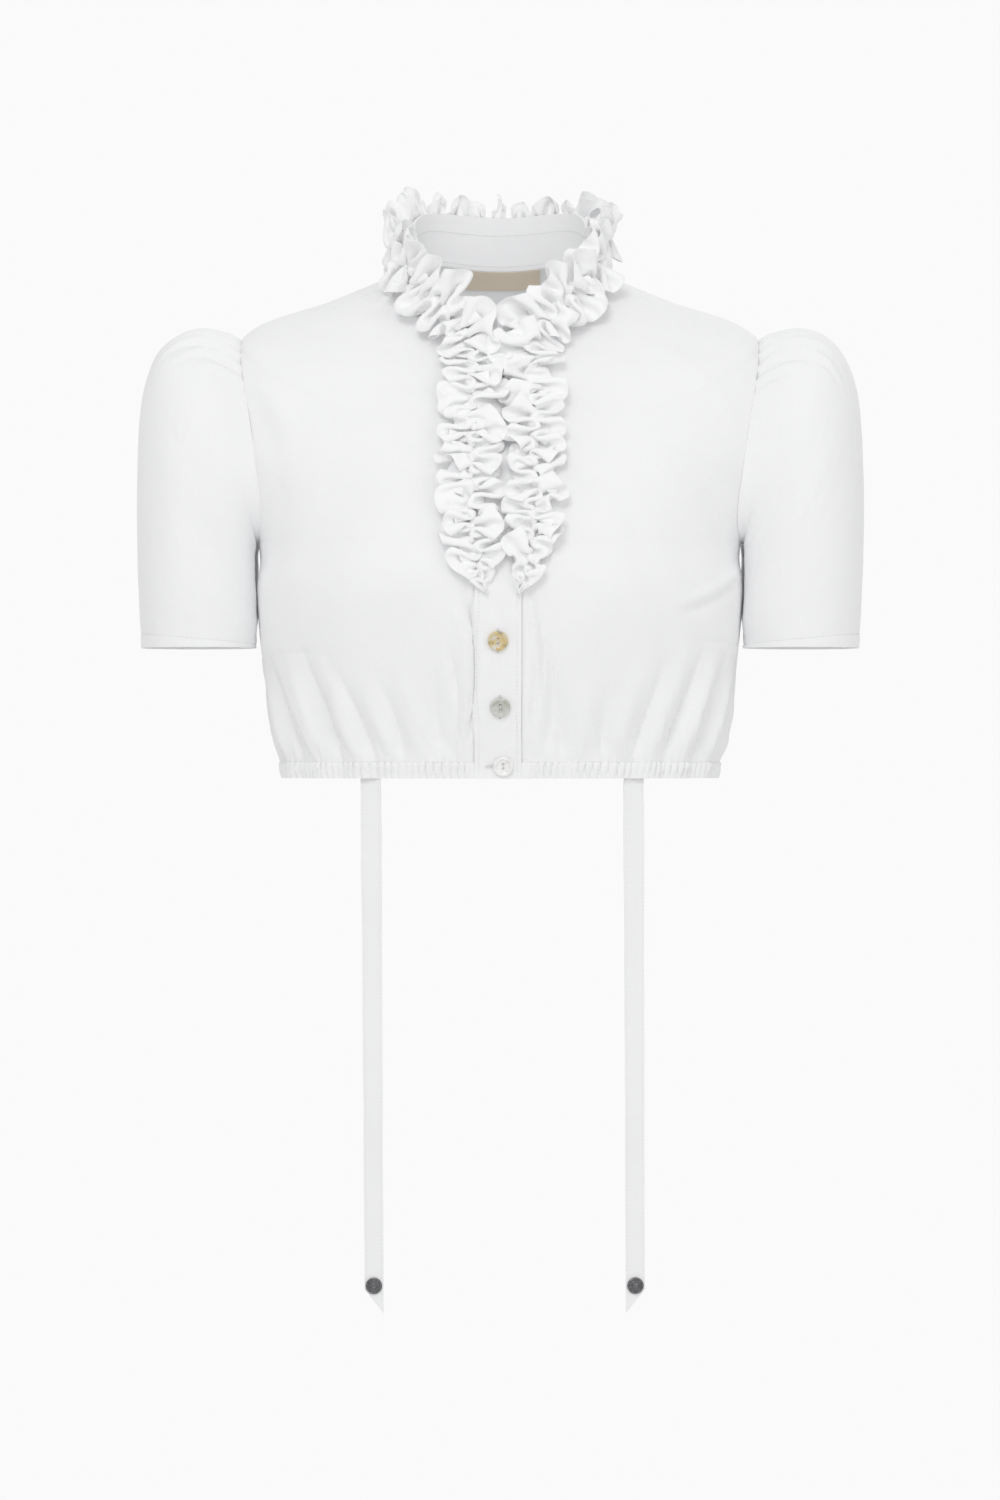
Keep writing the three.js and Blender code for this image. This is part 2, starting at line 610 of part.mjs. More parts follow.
// Ribbons, each with a domed rivet near its end
const rivetRadius = RIVET_DIAMETER / 2;
const rivet = turned([
  [0, 0],
  [rivetRadius, 0],
  [rivetRadius, 0.8],
  [rivetRadius - 1, 1.5],
  [rivetRadius - 1.8, 1.1],
  [0, 1.9],
], 16);
const RIBBON_ROWS = span(0, RIBBON.length - 1, 11);
for (const row of RIBBONS) {
  const surface = ribbon(row);
  const faces = facesOf(surface, RIBBON_WALL);
  addPiece(`tie_${row.name}`, wallGeometry(faces, span(-1, 1, 2), RIBBON_ROWS), poplin);
  addOnSurface(`rivet_${row.name}`, rivet, surface, [0, RIVET_ROW], RIBBON_WALL / 2 + SEAM_GAP, steel);
}

// Label inside the back of the neck
const insideBack = movedOut(bodice, -CLOTH / 2 - SEAM_GAP - LABEL.wall / 2);
addPiece('neck_label', wallGeometry(placedBy(backPlace, facesOf(insideBack, LABEL.wall)),
  span(-LABEL.halfWidth, LABEL.halfWidth, 6), [LABEL.top, LABEL.bottom]), beige);

export default blouse;
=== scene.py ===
import math
from types import SimpleNamespace as Sizes
import bpy
import numpy as np
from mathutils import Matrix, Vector


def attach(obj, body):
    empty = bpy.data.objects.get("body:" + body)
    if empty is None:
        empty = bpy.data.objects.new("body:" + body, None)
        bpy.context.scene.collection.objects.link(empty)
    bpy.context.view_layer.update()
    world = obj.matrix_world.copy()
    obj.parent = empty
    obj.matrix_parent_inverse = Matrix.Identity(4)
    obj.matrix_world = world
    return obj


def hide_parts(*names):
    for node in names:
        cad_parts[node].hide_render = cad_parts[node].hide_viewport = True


# Looks of the dirndl blouse. Sizes are in millimetres until a mesh is made.
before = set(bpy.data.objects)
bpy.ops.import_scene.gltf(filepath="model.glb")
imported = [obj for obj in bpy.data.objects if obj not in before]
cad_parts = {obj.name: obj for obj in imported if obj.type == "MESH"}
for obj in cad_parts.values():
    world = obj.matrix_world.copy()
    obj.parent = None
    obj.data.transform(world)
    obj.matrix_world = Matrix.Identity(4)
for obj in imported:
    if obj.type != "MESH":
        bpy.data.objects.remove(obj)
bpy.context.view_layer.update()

MM = 0.001
DEGREE = math.pi / 180
SIDE = math.pi / 2  # the turn from the centre front to a side seam
STEP = 1e-3  # how far apart slopes are measured
SHARP_EDGE = 50  # in degrees
CLOTH = 1.2  # the CAD wall, whose outer face these shells follow
SHELL = 0.8
SEAM_GAP = 0.1
ARMHOLE_GAP = 0.5
ARMHOLE_HALF_ANGLE = 29 * DEGREE
PLACKET_LEFT_X = -18.5
PLACKET_RIGHT_X = 15.5
# Rows of the bodice's table
NECK, SHOULDER, UNDERARM, CASING_TOP, HEM = 0, 2, 4, 7, 8


def table(columns, *rows):
    """An array for each named column."""
    return dict(zip(columns.split(), np.array(rows, float).T))


# Sections of the bodice from the neck seam down to the hem
BODICE = table(
    "half_width front back power z_front z_side z_back",
    [66, 64, 60, 2.0, -58, 8, 18],
    [128, 73, 78, 2.2, -78, -14, -8],
    [191, 82, 92, 2.45, -105, -38, -50],
    [202, 99, 104, 2.4, -140, -105, -110],
    [178, 114, 108, 2.3, -188, -188, -188],
    [179, 119, 105, 2.3, -225, -225, -225],
    [173, 110, 98, 2.2, -290, -290, -290],
    [161, 95, 90, 2.1, -349, -349, -349],
    [159.5, 93, 88.5, 2.1, -361, -361, -361],
)
CASING_TOP_Z = -349
CRIMP_PITCH = 5.2
CUP = Sizes(x=84, z=-224, radius=58, lift=8)

# Troughs that run up from the elastic, in degrees round the body from the centre front
HEM_FOLDS = table(
    "start lean height width depth",
    [-82, -6, 70, 4.6, 3.0],
    [-64, -11, 86, 4.4, 4.6],
    [-45, -9, 96, 4.0, 5.0],
    [-33, -8, 76, 3.6, 3.6],
    [-24, -3, 62, 3.6, 3.0],
    [-15, 2, 88, 3.8, 3.2],
    [16, -6, 78, 3.6, 3.4],
    [26, -2, 64, 3.6, 2.6],
    [36, 5, 84, 3.8, 3.6],
    [47, 9, 94, 4.2, 4.4],
    [60, 11, 90, 4.4, 4.6],
    [77, 7, 76, 4.6, 3.4],
    [98, 4, 74, 4.6, 3.4],
    [113, 3, 92, 4.6, 4.2],
    [128, 3, 84, 4.4, 4.2],
    [144, 1, 70, 4.4, 3.4],
    [160, 0, 90, 4.4, 4.0],
    [178, -1, 78, 4.4, 3.6],
    [196, 1, 88, 4.4, 4.2],
    [213, -2, 72, 4.4, 3.4],
    [230, -3, 92, 4.4, 4.4],
    [246, -3, 80, 4.6, 3.8],
    [261, -4, 70, 4.6, 3.2],
)

# Soft creases on the fronts and the back (side 1 is the front): a line on the panel,
# its width and how far it stands out
CREASES = table(
    "side x1 z1 x2 z2 width height",
    [1, 96, -107, 178, -141, 6.5, 1.9],
    [1, 122, -48, 178, -111, 9, 1.4],
    [1, 48, -126, 92, -189, 8, 1.4],
    [1, 33, -192, 89, -244, 10, 1.2],
    [1, 175, -209, 130, -233, 4.5, 2.2],
    [1, 176, -216, 128, -242, 4.0, -1.8],
    [1, 150, -150, 172, -205, 9, -1.3],
    [1, 60, -60, 120, -88, 12, 0.8],
    [1, -181, -67, -152, -111, 8, 1.5],
    [1, -176, -92, -160, -170, 8, -1.6],
    [1, -168, -120, -150, -230, 12, 1.1],
    [1, -40, -150, -70, -235, 12, 0.8],
    [1, -62, -60, -110, -96, 12, 0.7],
    [1, -120, -110, -60, -150, 16, 0.6],
    [1, -25, -222, -23.5, -335, 2.4, -4.4],
    [1, -31, -240, -28.5, -338, 2.8, 2.4],
    [1, -38, -262, -33, -345, 2.6, -2.6],
    [1, 21, -222, 19.5, -335, 2.4, -3.4],
    [1, 27, -238, 26, -335, 2.8, 2.2],
    [1, 36, -268, 31, -345, 2.8, -2.2],
    [1, -125, -268, -128, -318, 5, -1.5],
    [-1, -120, -60, -60, -110, 14, 0.9],
    [-1, 120, -64, 66, -118, 14, 0.9],
    [-1, -150, -180, -90, -215, 12, 1.2],
    [-1, 148, -185, 92, -222, 12, 1.2],
    [-1, -60, -130, 60, -135, 18, -0.8],
    [-1, -30, -200, 20, -280, 12, 0.9],
)
# Bust darts, as sewn lines that dip into the cloth
DARTS = table(
    "side x1 z1 x2 z2 width height",
    [1, -178, -271, -131, -269, 1.5, -0.9],
    [1, 178, -263, 138, -259, 1.5, -0.9],
)

# Sections of a sleeve in the plane of the shoulder: its outer and inner points
SLEEVE = table(
    "outer_x outer_z inner_x inner_z depth",
    [191, -38, 178, -187, 56],
    [204, -35, 181.5, -188, 60],
    [222, -31.5, 184.5, -192, 64],
    [240, -35.5, 185.5, -199, 66],
    [254, -49, 185.3, -207, 67],
    [263, -74, 185, -216, 67],
    [267, -105, 184.8, -226, 67],
    [268.5, -155, 184.2, -238, 66],
    [268, -212, 183.6, -252, 64],
    [265.5, -265, 183.2, -265, 61],
)
SLEEVE_POWER = 2.15
SLEEVE_HEM = 9
SLEEVE_STITCH_ROW = 8.73
SLEEVE_ROW_LENGTH = 27
SLEEVE_RADIUS = 62
# Pleats round the cap: how many, how far to each side, how deep, their tucks and the puff over them
CAP = Sizes(count=10, spread=62 * DEGREE, depth=2.34, tuck=3.1, puff=0.9)
PLEATS_ROUND = 24

COLLAR = table(
    "half_width front back power z_front z_side z_back",
    [64, 60, 62, 2.0, -23, 45, 58],
    [66, 64, 60, 2.0, -56.7, 9.3, 19.3],
)
COLLAR_RADIUS = 62
COLLAR_HEIGHT = 36
COLLAR_STITCH_ROWS = (0.38, 0.92)

RUFFLE = Sizes(middle_x=1.9, from_middle=22.8, tip_shift=11, taper=42, end_gap=0.3, half_wall=0.17)
# A gathered strip: how much longer its cloth is than its seam, half its width, the size of its
# cells and the band that the stitches hold; the angle that it is raised to at first, how far it
# sways there and in what waves, how much longer its edge is; the base, the uneven top and the
# reach that it stays within, how far its layers stay apart, and the steps that it gathers in
GATHER = Sizes(
    fullness=2.7, half=26.5, cell=2.15, sewn=4, tilt=70, sway=4.8, wave=20, edge=0.4,
    floor=0.7, ceiling=16.5, uneven=5, reach=24, apart=1.8, steps=150, passes=5,
)
# The speed that the cloth keeps from step to step, and how much of each error is mended at once
SOLVER = Sizes(speed=0.82, thread=0.9, shear=0.35, push=0.42)
# Points a span of cells apart keep at least a length, in cells, so that folds stay round
LONG_BEND = dict(span=3, least=2.7, strength=0.22)
SHORT_BEND = dict(span=2, least=1.86, strength=0.3)
CROSS_BEND = dict(span=2, least=1.94, strength=0.3)
FINER = 1.6  # how much finer the grid is drawn than it is solved
RUFFLE_FRONT_Z = np.array([-228.0, -204, -175, -148, -121, -94, -72])
RUFFLE_COLLAR = table(
    "angle share",
    [18, 0.9],
    [21, 0.6],
    [28, 0.42],
    [38, 0.36],
    [53, 0.33],
    *([angle, 0.32] for angle in (71, 89, 107, 125, 143, 161, 170, 179.2)),
)

RIBBON = table(
    "z width turn sway",
    [-351.5, 15.4, 22, 0],
    [-372, 15.6, 20, 0],
    [-420, 15.4, 11, 1.6],
    [-480, 14.8, 17, 2.4],
    [-545, 14.4, 4, 1.0],
    [-610, 14.2, 14, -1.0],
    [-675, 14.0, 5, 0.4],
    [-734, 13.9, 8, 1.0],
)
RIBBONS = (("right", -94.7, 2.9, -1), ("left", 97.3, 1.5, 1))
RIBBON_POINT = 17
RIBBON_ROW_LENGTH = 55
INSIDE_CASING = 2.8
RIVET_ROW = 6.77
BUTTONS = (("button_top", -1.5, -261), ("button_middle", 0, -308.6), ("button_hem", 2.2, -351.5))
BUTTON_HOLES = [(0, 1.7, 0.85), (0, -1.7, 0.85)]
HOLE_DEPTH = 1.3
BUTTONHOLE = Sizes(half_length=9.0, half_width=0.75, shift=3.4, stitches=120)


def row_at(rows, place):
    """The values at fractional places in a table, on smooth curves through its rows."""
    place = np.asarray(place, float)
    last = len(next(iter(rows.values()))) - 1
    index = np.clip(np.floor(place).astype(int), 0, last - 1)
    values = {}
    for name, column in rows.items():
        f = (place - index).reshape(place.shape + (1,) * (column.ndim - 1))
        a, b, c, d = (column[np.clip(index + k, 0, last)] for k in (-1, 0, 1, 2))
        values[name] = (
            b * (2 * f**3 - 3 * f**2 + 1) + (c - a) / 2 * (f**3 - 2 * f**2 + f)
            + c * (3 * f**2 - 2 * f**3) + (d - b) / 2 * (f**3 - f**2)
        )
    return values


def smooth_step(low, high, value):
    t = np.clip((value - low) / (high - low), 0, 1)
    return t * t * (3 - 2 * t)


def signed_power(value, power):
    return np.sign(value) * np.abs(value) ** power


def hump(away, width):
    """1 where something is near, fading smoothly to 0 over a few widths."""
    return np.exp(-((away / width) ** 2))


def vectors(*parts):
    """Vectors from an array for each of their parts."""
    return np.stack(np.broadcast_arrays(*parts), axis=-1)


def unit(rows):
    return rows / np.maximum(np.linalg.norm(rows, axis=-1, keepdims=True), 1e-9)


def lengths_along(line):
    """How far along a line each of its points lies."""
    return np.concatenate([[0], np.cumsum(np.linalg.norm(np.diff(line, axis=0), axis=1))])


def grid_cells(columns, rows):
    """The column and the row of each cell of a grid."""
    return (cells.ravel() for cells in np.meshgrid(np.arange(columns), np.arange(rows), indexing="ij"))


def noise(a, b, size, seed):
    """Smooth random waves of about that size over a surface, from -1 to 1."""
    waves = np.random.default_rng(seed)
    total = 0
    for _ in range(7):
        heading = waves.uniform(0, 2 * math.pi)
        length = size * waves.uniform(0.7, 1.6)
        phase = waves.uniform(0, 2 * math.pi)
        total = total + np.sin(
            2 * math.pi * (a * math.cos(heading) + b * math.sin(heading)) / length + phase
        )
    return total / 4


def ring_point(section, angle):
    sine, cosine = np.sin(angle), np.cos(angle)
    depth = np.where(cosine > 0, section["front"], section["back"])
    ends = (section["z_front"] + section["z_back"]) / 2
    return vectors(
        section["half_width"] * signed_power(sine, 2 / section["power"]),
        -depth * signed_power(cosine, 2 / section["power"]),
        (ends + section["z_side"]) / 2
        + (section["z_front"] - section["z_back"]) / 2 * cosine
        + (ends - section["z_side"]) / 2 * np.cos(2 * angle),
    )


def angle_at_x(section, x):
    return np.arcsin(signed_power(x / section["half_width"], section["power"] / 2))


# Length round the casing's top, from the centre front
CASING_TURNS = np.linspace(-0.6 * math.pi, 2.1 * math.pi, 900)
casing_line = ring_point(row_at(BODICE, CASING_TOP), CASING_TURNS)
casing_steps = np.diff(casing_line, axis=0, prepend=np.zeros((1, 3)))
CASING_LENGTHS = np.cumsum(np.linalg.norm(casing_steps, axis=1))
CASING_LENGTHS -= np.interp(0, CASING_TURNS, CASING_LENGTHS)


def casing_length(angle):
    return np.interp(angle, CASING_TURNS, CASING_LENGTHS)


def crimp(angle, pitch, slant=0):
    """Crimps round the hem, from -1 to 1, with none on the placket."""
    length = casing_length(angle)
    drift = 2.6 * np.sin(length / 23.0) + 1.7 * np.sin(length / 9.7 + 1)
    uneven = 0.62 + 0.38 * np.sin(length / 6.1) * np.sin(length / 17.3 + 2)
    off_placket = smooth_step(0.10, 0.15, np.abs(np.arctan2(np.sin(angle), np.cos(angle))))
    return off_placket * uneven * np.cos(2 * math.pi * (length + slant) / pitch + drift)


def fold_lift(angle, z):
    rise = z - CASING_TOP_Z
    lift = 0
    for start, lean, height, width, depth in zip(*HEM_FOLDS.values()):
        share = np.maximum(rise, 0) / height
        away = np.abs((angle / DEGREE - start - lean * share + 540) % 360 - 180)
        profile = (0.3 + 0.7 * smooth_step(0, 0.22, share)) * (1 - smooth_step(0.3, 1, share))
        trough = hump(away, width) + 0.7 * hump(away, 0.3 * width)
        ridge = 0.55 * hump(away - 1.9 * width, 0.8 * width)
        lift = lift - 1.2 * depth * profile * (trough - ridge)
    near = np.exp(-np.maximum(rise, 0) / 8)
    wide = np.exp(-np.maximum(rise, 0) / 24)
    slant = 0.35 * np.maximum(rise, 0)
    fine = 0.7 * near * crimp(angle, CRIMP_PITCH)
    middling = 1.5 * wide * (1 - near) * crimp(angle, 11, slant)
    return lift + fine + middling + 1.5 * wide * (1 - near) * crimp(angle, 21)


def crease_lift(creases, x, z, front):
    lift = 0
    for side, x1, z1, x2, z2, width, height in zip(*creases.values()):
        along = np.array([x2 - x1, z2 - z1])
        length = np.hypot(*along)
        t = ((x - x1) * along[0] + (z - z1) * along[1]) / length**2
        bow = 0.06 * length * np.sin(math.pi * np.clip(t, 0, 1))
        away = ((x - x1) * along[1] - (z - z1) * along[0]) / length + bow * (creases is CREASES)
        ends = smooth_step(-0.12, 0.25, t) * (1 - smooth_step(0.7, 1.12, t))
        lift = lift + np.where(front == (side > 0), height, 0) * ends * hump(away, width)
    return lift


def bodice(angle, level):
    """The bodice's middle surface, with its folds, at an angle and a row of its table."""
    section = row_at(BODICE, level)
    point = ring_point(section, angle)
    x, y, z = np.moveaxis(point, -1, 0)
    front = np.cos(angle) > 0
    depth = np.where(front, section["front"], section["back"])
    outward = unit(vectors(
        signed_power(x / section["half_width"], section["power"] - 1) / section["half_width"],
        signed_power(y / depth, section["power"] - 1) / depth,
        np.zeros_like(x),
    ))
    cup = ((np.abs(x) - CUP.x) ** 2 + (z - CUP.z) ** 2) / CUP.radius**2
    lift = fold_lift(angle, z)
    lift = lift + np.where(front, CUP.lift * np.exp(-cup), 0) * smooth_step(0, 0.4, np.cos(angle))
    lift = lift + crease_lift(CREASES, x, z, front) + crease_lift(DARTS, x, z, front)
    calm = smooth_step(0, 0.6, level)
    lift = lift + calm * (0.55 * noise(x, z + 3 * y, 62, 3) + 0.12 * noise(x, z + 2 * y, 17, 4))
    return point + outward * lift[..., None]


def collar(angle, share):
    return ring_point(row_at(COLLAR, share), angle)


def normal_at(surface, u, v):
    """Outward unit normals where u runs round the body and v down it."""
    sideways = surface(u + STEP, v) - surface(u - STEP, v)
    down = surface(u, v + STEP) - surface(u, v - STEP)
    return unit(np.cross(down, sideways))


def raised(surface, u, v, lift):
    """A surface's points, moved out along its normals."""
    return surface(u, v) + normal_at(surface, u, v) * lift[..., None]


def side_angle(level, depth_name):
    """How far from the side a panel ends, at its seam or round the armhole."""
    section = row_at(BODICE, level)
    seam = (SEAM_GAP / 2 / section[depth_name]) ** (section["power"] / 2)
    place = (level - SHOULDER) / (UNDERARM - SHOULDER) * 2 - 1
    return np.maximum(seam, ARMHOLE_HALF_ANGLE * np.sqrt(np.clip(1 - place**2, 0, None)))


def even_levels(low, high, count, angle=0.5):
    """Rows of the bodice's table that are evenly spaced along the cloth."""
    fine = np.linspace(low, high, 400)
    points = ring_point(row_at(BODICE, fine), angle)
    reached = lengths_along(points)
    return np.interp(np.linspace(0, reached[-1], count), reached, fine)


def front_angle(level, x):
    """The angle at a row of the bodice's table where the front is at x."""
    return angle_at_x(row_at(BODICE, level), x)


def level_at(x, z):
    """The row of the bodice's table where the front is at x and z."""
    levels = np.linspace(NECK, HEM, 600)
    heights = ring_point(row_at(BODICE, levels), front_angle(levels, x))[:, 2]
    return np.interp(-z, -heights, levels)


# Meshes

def lengths_of(points, axis):
    """How far each grid point lies along the cloth in one direction, averaged over the other."""
    steps = np.linalg.norm(np.diff(points, axis=axis), axis=-1)
    mean = steps.mean(axis=1 - axis)
    return np.concatenate([[0], np.cumsum(mean)])


def make_piece(name, points, faces, material, uvs=None, sharp=None):
    """An object from points in millimetres."""
    mesh = bpy.data.meshes.new(name)
    mesh.from_pydata((points * MM).tolist(), [], faces)
    if uvs is not None:
        layer = mesh.uv_layers.new(name="cloth")
        layer.data.foreach_set("uv", uvs.astype(np.float32).ravel())
    mesh.polygons.foreach_set("use_smooth", np.ones(len(mesh.polygons), bool))
    if sharp:
        mesh.set_sharp_from_angle(angle=math.radians(sharp))
    mesh.materials.append(material)
    piece = bpy.data.objects.new(name, mesh)
    bpy.context.scene.collection.objects.link(piece)
    return piece


def wall(name, outer, inner, material, ring=False):
    """A closed wall of cloth between two grids of points: columns by rows."""
    columns, rows = outer.shape[:2]
    points = np.concatenate([outer.reshape(-1, 3), inner.reshape(-1, 3)])
    across = columns if ring else columns - 1
    i, j = grid_cells(across, rows - 1)
    corners = []  # each row: four corners as (column, row, side)

    def quads(*four):
        corners.append(np.stack([vectors(*corner) for corner in four], axis=1))

    quads((i, j, 0), (i, j + 1, 0), (i + 1, j + 1, 0), (i + 1, j, 0))
    quads((i, j, 1), (i + 1, j, 1), (i + 1, j + 1, 1), (i, j + 1, 1))
    i = np.arange(across)
    end = rows - 1
    quads((i, 0, 0), (i + 1, 0, 0), (i + 1, 0, 1), (i, 0, 1))
    quads((i, end, 0), (i, end, 1), (i + 1, end, 1), (i + 1, end, 0))
    if not ring:
        j = np.arange(end)
        quads((0, j, 0), (0, j, 1), (0, j + 1, 1), (0, j + 1, 0))
        quads((across, j, 0), (across, j + 1, 0), (across, j + 1, 1), (across, j, 1))
    column, row, side = np.moveaxis(np.concatenate(corners), -1, 0)
    faces = (column % columns) * rows + row + side * columns * rows
    closed = np.concatenate([outer, outer[:1]]) if ring else outer
    u, v = lengths_of(closed, 0), lengths_of(closed, 1)
    uvs = vectors(u[column], v[row]) * MM
    return make_piece(name, points, faces.tolist(), material, uvs, sharp=SHARP_EDGE)


def shell(name, surface, u, v, material, ring=False, thickness=SHELL, proud=CLOTH / 2):
    """A wall whose outer face is proud of a middle surface by a distance."""
    u, v = np.broadcast_arrays(u, v)
    middle, normal = surface(u, v), normal_at(surface, u, v)
    outer, inner = middle + normal * proud, middle + normal * (proud - thickness)
    return wall(name, outer, inner, material, ring)


def stitches(name, points, normals, material, length=2.1, gap=0.7, radius=0.2):
    """Sewing along lines: each stitch is a thread that lies on the cloth and dips at its ends."""
    verts, faces = [], []
    base = 0
    ring = [(2, 3), (3, 4), (4, 5), (5, 2)]
    cell = np.array([(0, p, q) for p, q in ring] + [(1, q, p) for p, q in ring])
    for line, normal in zip(points, normals):
        reached = lengths_along(line)

        def along(where, values):
            return vectors(*(np.interp(where, reached, values[:, k]) for k in range(3)))

        starts = np.arange(0.4, reached[-1] - length, length + gap)
        a, b = along(starts, line), along(starts + length, line)
        up = unit(along(starts + length / 2, normal))
        middle = (a + b) / 2 + up * radius * 0.7
        across = unit(np.cross(b - a, up)) * radius
        block = np.stack([a - up * 0.1, b - up * 0.1, middle + across, middle + up * radius,
                          middle - across, middle - up * radius], axis=1)
        verts.append(block.reshape(-1, 3))
        faces.append((base + 6 * np.arange(len(starts))[:, None, None] + cell).reshape(-1, 3))
        base += 6 * len(starts)
    return make_piece(name, np.concatenate(verts), np.concatenate(faces).tolist(), material)


def on_surface(surface, u, v, distance):
    """Points and normals along a line on a surface."""
    u, v = np.broadcast_arrays(u, v)
    normals = normal_at(surface, u, v)
    return surface(u, v) + normals * distance, normals


# Materials

def set_inputs(tree, node, inputs):
    """Gives a node's inputs their values, or links them where the value is an output."""
    for name, value in inputs.items():
        if isinstance(value, bpy.types.NodeSocket):
            tree.links.new(value, node.inputs[name])
        else:
            node.inputs[name].default_value = value


def new_node(tree, kind, inputs):
    node = tree.nodes.new(kind)
    set_inputs(tree, node, inputs)
    return node


def principled(name, inputs):
    material = bpy.data.materials.new(name)
    material.use_nodes = True
    tree = material.node_tree
    shader = tree.nodes["Principled BSDF"]
    set_inputs(tree, shader, inputs)
    return material, tree, shader


def ramp(tree, factor, colours):
    """A colour that runs through others, each at its place."""
    node = new_node(tree, "ShaderNodeValToRGB", {"Fac": factor})
    places = list(colours)
    stops = node.color_ramp.elements
    stops[0].position = places[0]
    stops[1].position = places[-1]
    for place in places[1:-1]:
        stops.new(place)
    for stop, colour in zip(stops, colours.values()):
        stop.color = (*colour, 1)
    return node.outputs["Color"]


def grain(tree, inputs):
    """Noise over the object's own space."""
    place = tree.nodes.new("ShaderNodeTexCoord")
    return new_node(tree, "ShaderNodeTexNoise", {"Vector": place.outputs["Object"], **inputs}).outputs["Fac"]


def bumped(tree, height, strength, distance):
    bump = new_node(tree, "ShaderNodeBump", {"Height": height, "Strength": strength, "Distance": distance})
    return bump.outputs["Normal"]


def cloth_material(name, colour, slub=1.0, creased=1.0, weave=0.45, roughness=0.86, sheen=0.25):
    """Plain-woven cotton: two sets of threads with slubs, soft creases and faint unevenness."""
    material, tree, shader = principled(name, {
        "Roughness": roughness, "Specular IOR Level": 0.25, "Sheen Weight": sheen, "Sheen Roughness": 0.4,
    })
    uv = tree.nodes.new("ShaderNodeUVMap")
    uv.uv_map = "cloth"

    def textured(kind, scale, inputs):
        stretch = new_node(tree, "ShaderNodeMapping", {"Vector": uv.outputs["UV"], "Scale": scale})
        return new_node(tree, kind, {"Vector": stretch.outputs["Vector"], **inputs})

    per_metre = 1 / MM
    along = 0.04 * per_metre  # slubs are long and thin
    even = (per_metre, per_metre, 1)
    heights = []
    for direction, scale in (("X", (per_metre, along, 1)), ("Y", (along, per_metre, 1))):
        slubs = textured("ShaderNodeTexNoise", scale, {"Scale": 0.9, "Detail": 3, "Roughness": 0.6})
        heights.append((slubs.outputs["Fac"], 0.16 * slub))
        threads = textured("ShaderNodeTexWave", even, {"Scale": 0.16 / weave, "Distortion": 0.6, "Detail": 1})
        threads.bands_direction = direction
        heights.append((threads.outputs["Fac"], 0.05))
    soft = textured("ShaderNodeTexNoise", even, {"Scale": 0.07, "Detail": 2})
    heights.append((soft.outputs["Fac"], 0.9 * creased))
    total = 0
    for height, amount in heights:
        added = tree.nodes.new("ShaderNodeMath")
        added.operation = "MULTIPLY_ADD"
        set_inputs(tree, added, {0: height, 1: amount, 2: total})
        total = added.outputs[0]
    cloudy = textured("ShaderNodeTexNoise", even, {"Scale": 0.02, "Detail": 3})
    colours = {0.3: [c * 0.985 for c in colour], 0.7: colour}
    set_inputs(tree, shader, {
        "Normal": bumped(tree, total, 0.5, MM),
        "Base Color": ramp(tree, cloudy.outputs["Fac"], colours),
    })
    return material


poplin = cloth_material("poplin", (0.925, 0.927, 0.932))
batiste = cloth_material("batiste", (0.972, 0.973, 0.976), slub=0.6, creased=0.6, weave=0.35, sheen=0.5)
tape = cloth_material("tape", (0.91, 0.912, 0.918), creased=0.5)
label_cloth = cloth_material("label_cloth", (0.76, 0.66, 0.53), slub=0.3, creased=0.2, weave=0.3,
                             roughness=0.55)


def thread_material():
    material, tree, shader = principled("thread", {"Roughness": 0.6, "Sheen Weight": 0.3})
    colours = {0: (0.74, 0.742, 0.75), 1: (0.84, 0.842, 0.85)}
    set_inputs(tree, shader, {"Base Color": ramp(tree, grain(tree, {"Scale": 1500}), colours)})
    return material


thread = thread_material()


def finish_piece(piece, slot, *nodes):
    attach(piece, "root")
    if nodes:
        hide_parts(*nodes)
    return piece


def add_cloth(node, piece, slot):
    finish_piece(piece, slot, node)


def add_stitches(node, lines, slot, **sizes):
    points, normals = zip(*lines)
    finish_piece(stitches(f"{node}_stitches", points, normals, thread, **sizes), slot)


# Bodice panels
SEAM_DIP = Sizes(depth=0.45, width=1.6)
FRONT_LEVELS = even_levels(NECK, CASING_TOP, 165)
BACK_LEVELS = even_levels(NECK, CASING_TOP, 130, 2.6)


def panel(node, from_edge, to_edge, columns, levels):
    """A bodice panel, whose columns bend round an armhole only where they are near it."""
    share = np.linspace(0, 1, columns)[:, None]
    level = levels[None, :]
    low, high = from_edge(level), to_edge(level)
    plain_low, plain_high = from_edge(levels[-1]), to_edge(levels[-1])
    angle = plain_low + (plain_high - plain_low) * share
    angle = angle + (low - plain_low) * (1 - share) ** 2 + (high - plain_high) * share**2
    steps = np.linalg.norm(np.diff(bodice(angle, level), axis=0, prepend=bodice(low, level)), axis=-1)
    reached = np.cumsum(steps, axis=0)
    to_seam = np.minimum(reached, reached[-1:] - reached)

    def seamed(u, v):
        return raised(bodice, u, v, -SEAM_DIP.depth * hump(to_seam, SEAM_DIP.width))

    add_cloth(node, shell(f"{node}_cloth", seamed, angle, level, poplin), "poplin")


panel("front_right", lambda level: side_angle(level, "front") - SIDE,
      lambda level: front_angle(level, PLACKET_LEFT_X - SEAM_GAP), 115, FRONT_LEVELS)
panel("front_left", lambda level: front_angle(level, PLACKET_RIGHT_X + SEAM_GAP),
      lambda level: SIDE - side_angle(level, "front"), 115, FRONT_LEVELS)
panel("back", lambda level: SIDE + side_angle(level, "back"),
      lambda level: 2 * math.pi - SIDE - side_angle(level, "back"), 180, BACK_LEVELS)

# Placket and button band
ON_FRONT = CLOTH + 0.3
EDGE_STITCH = 3.2
PLACKET_LEVELS = even_levels(NECK + 0.01, HEM, 220)


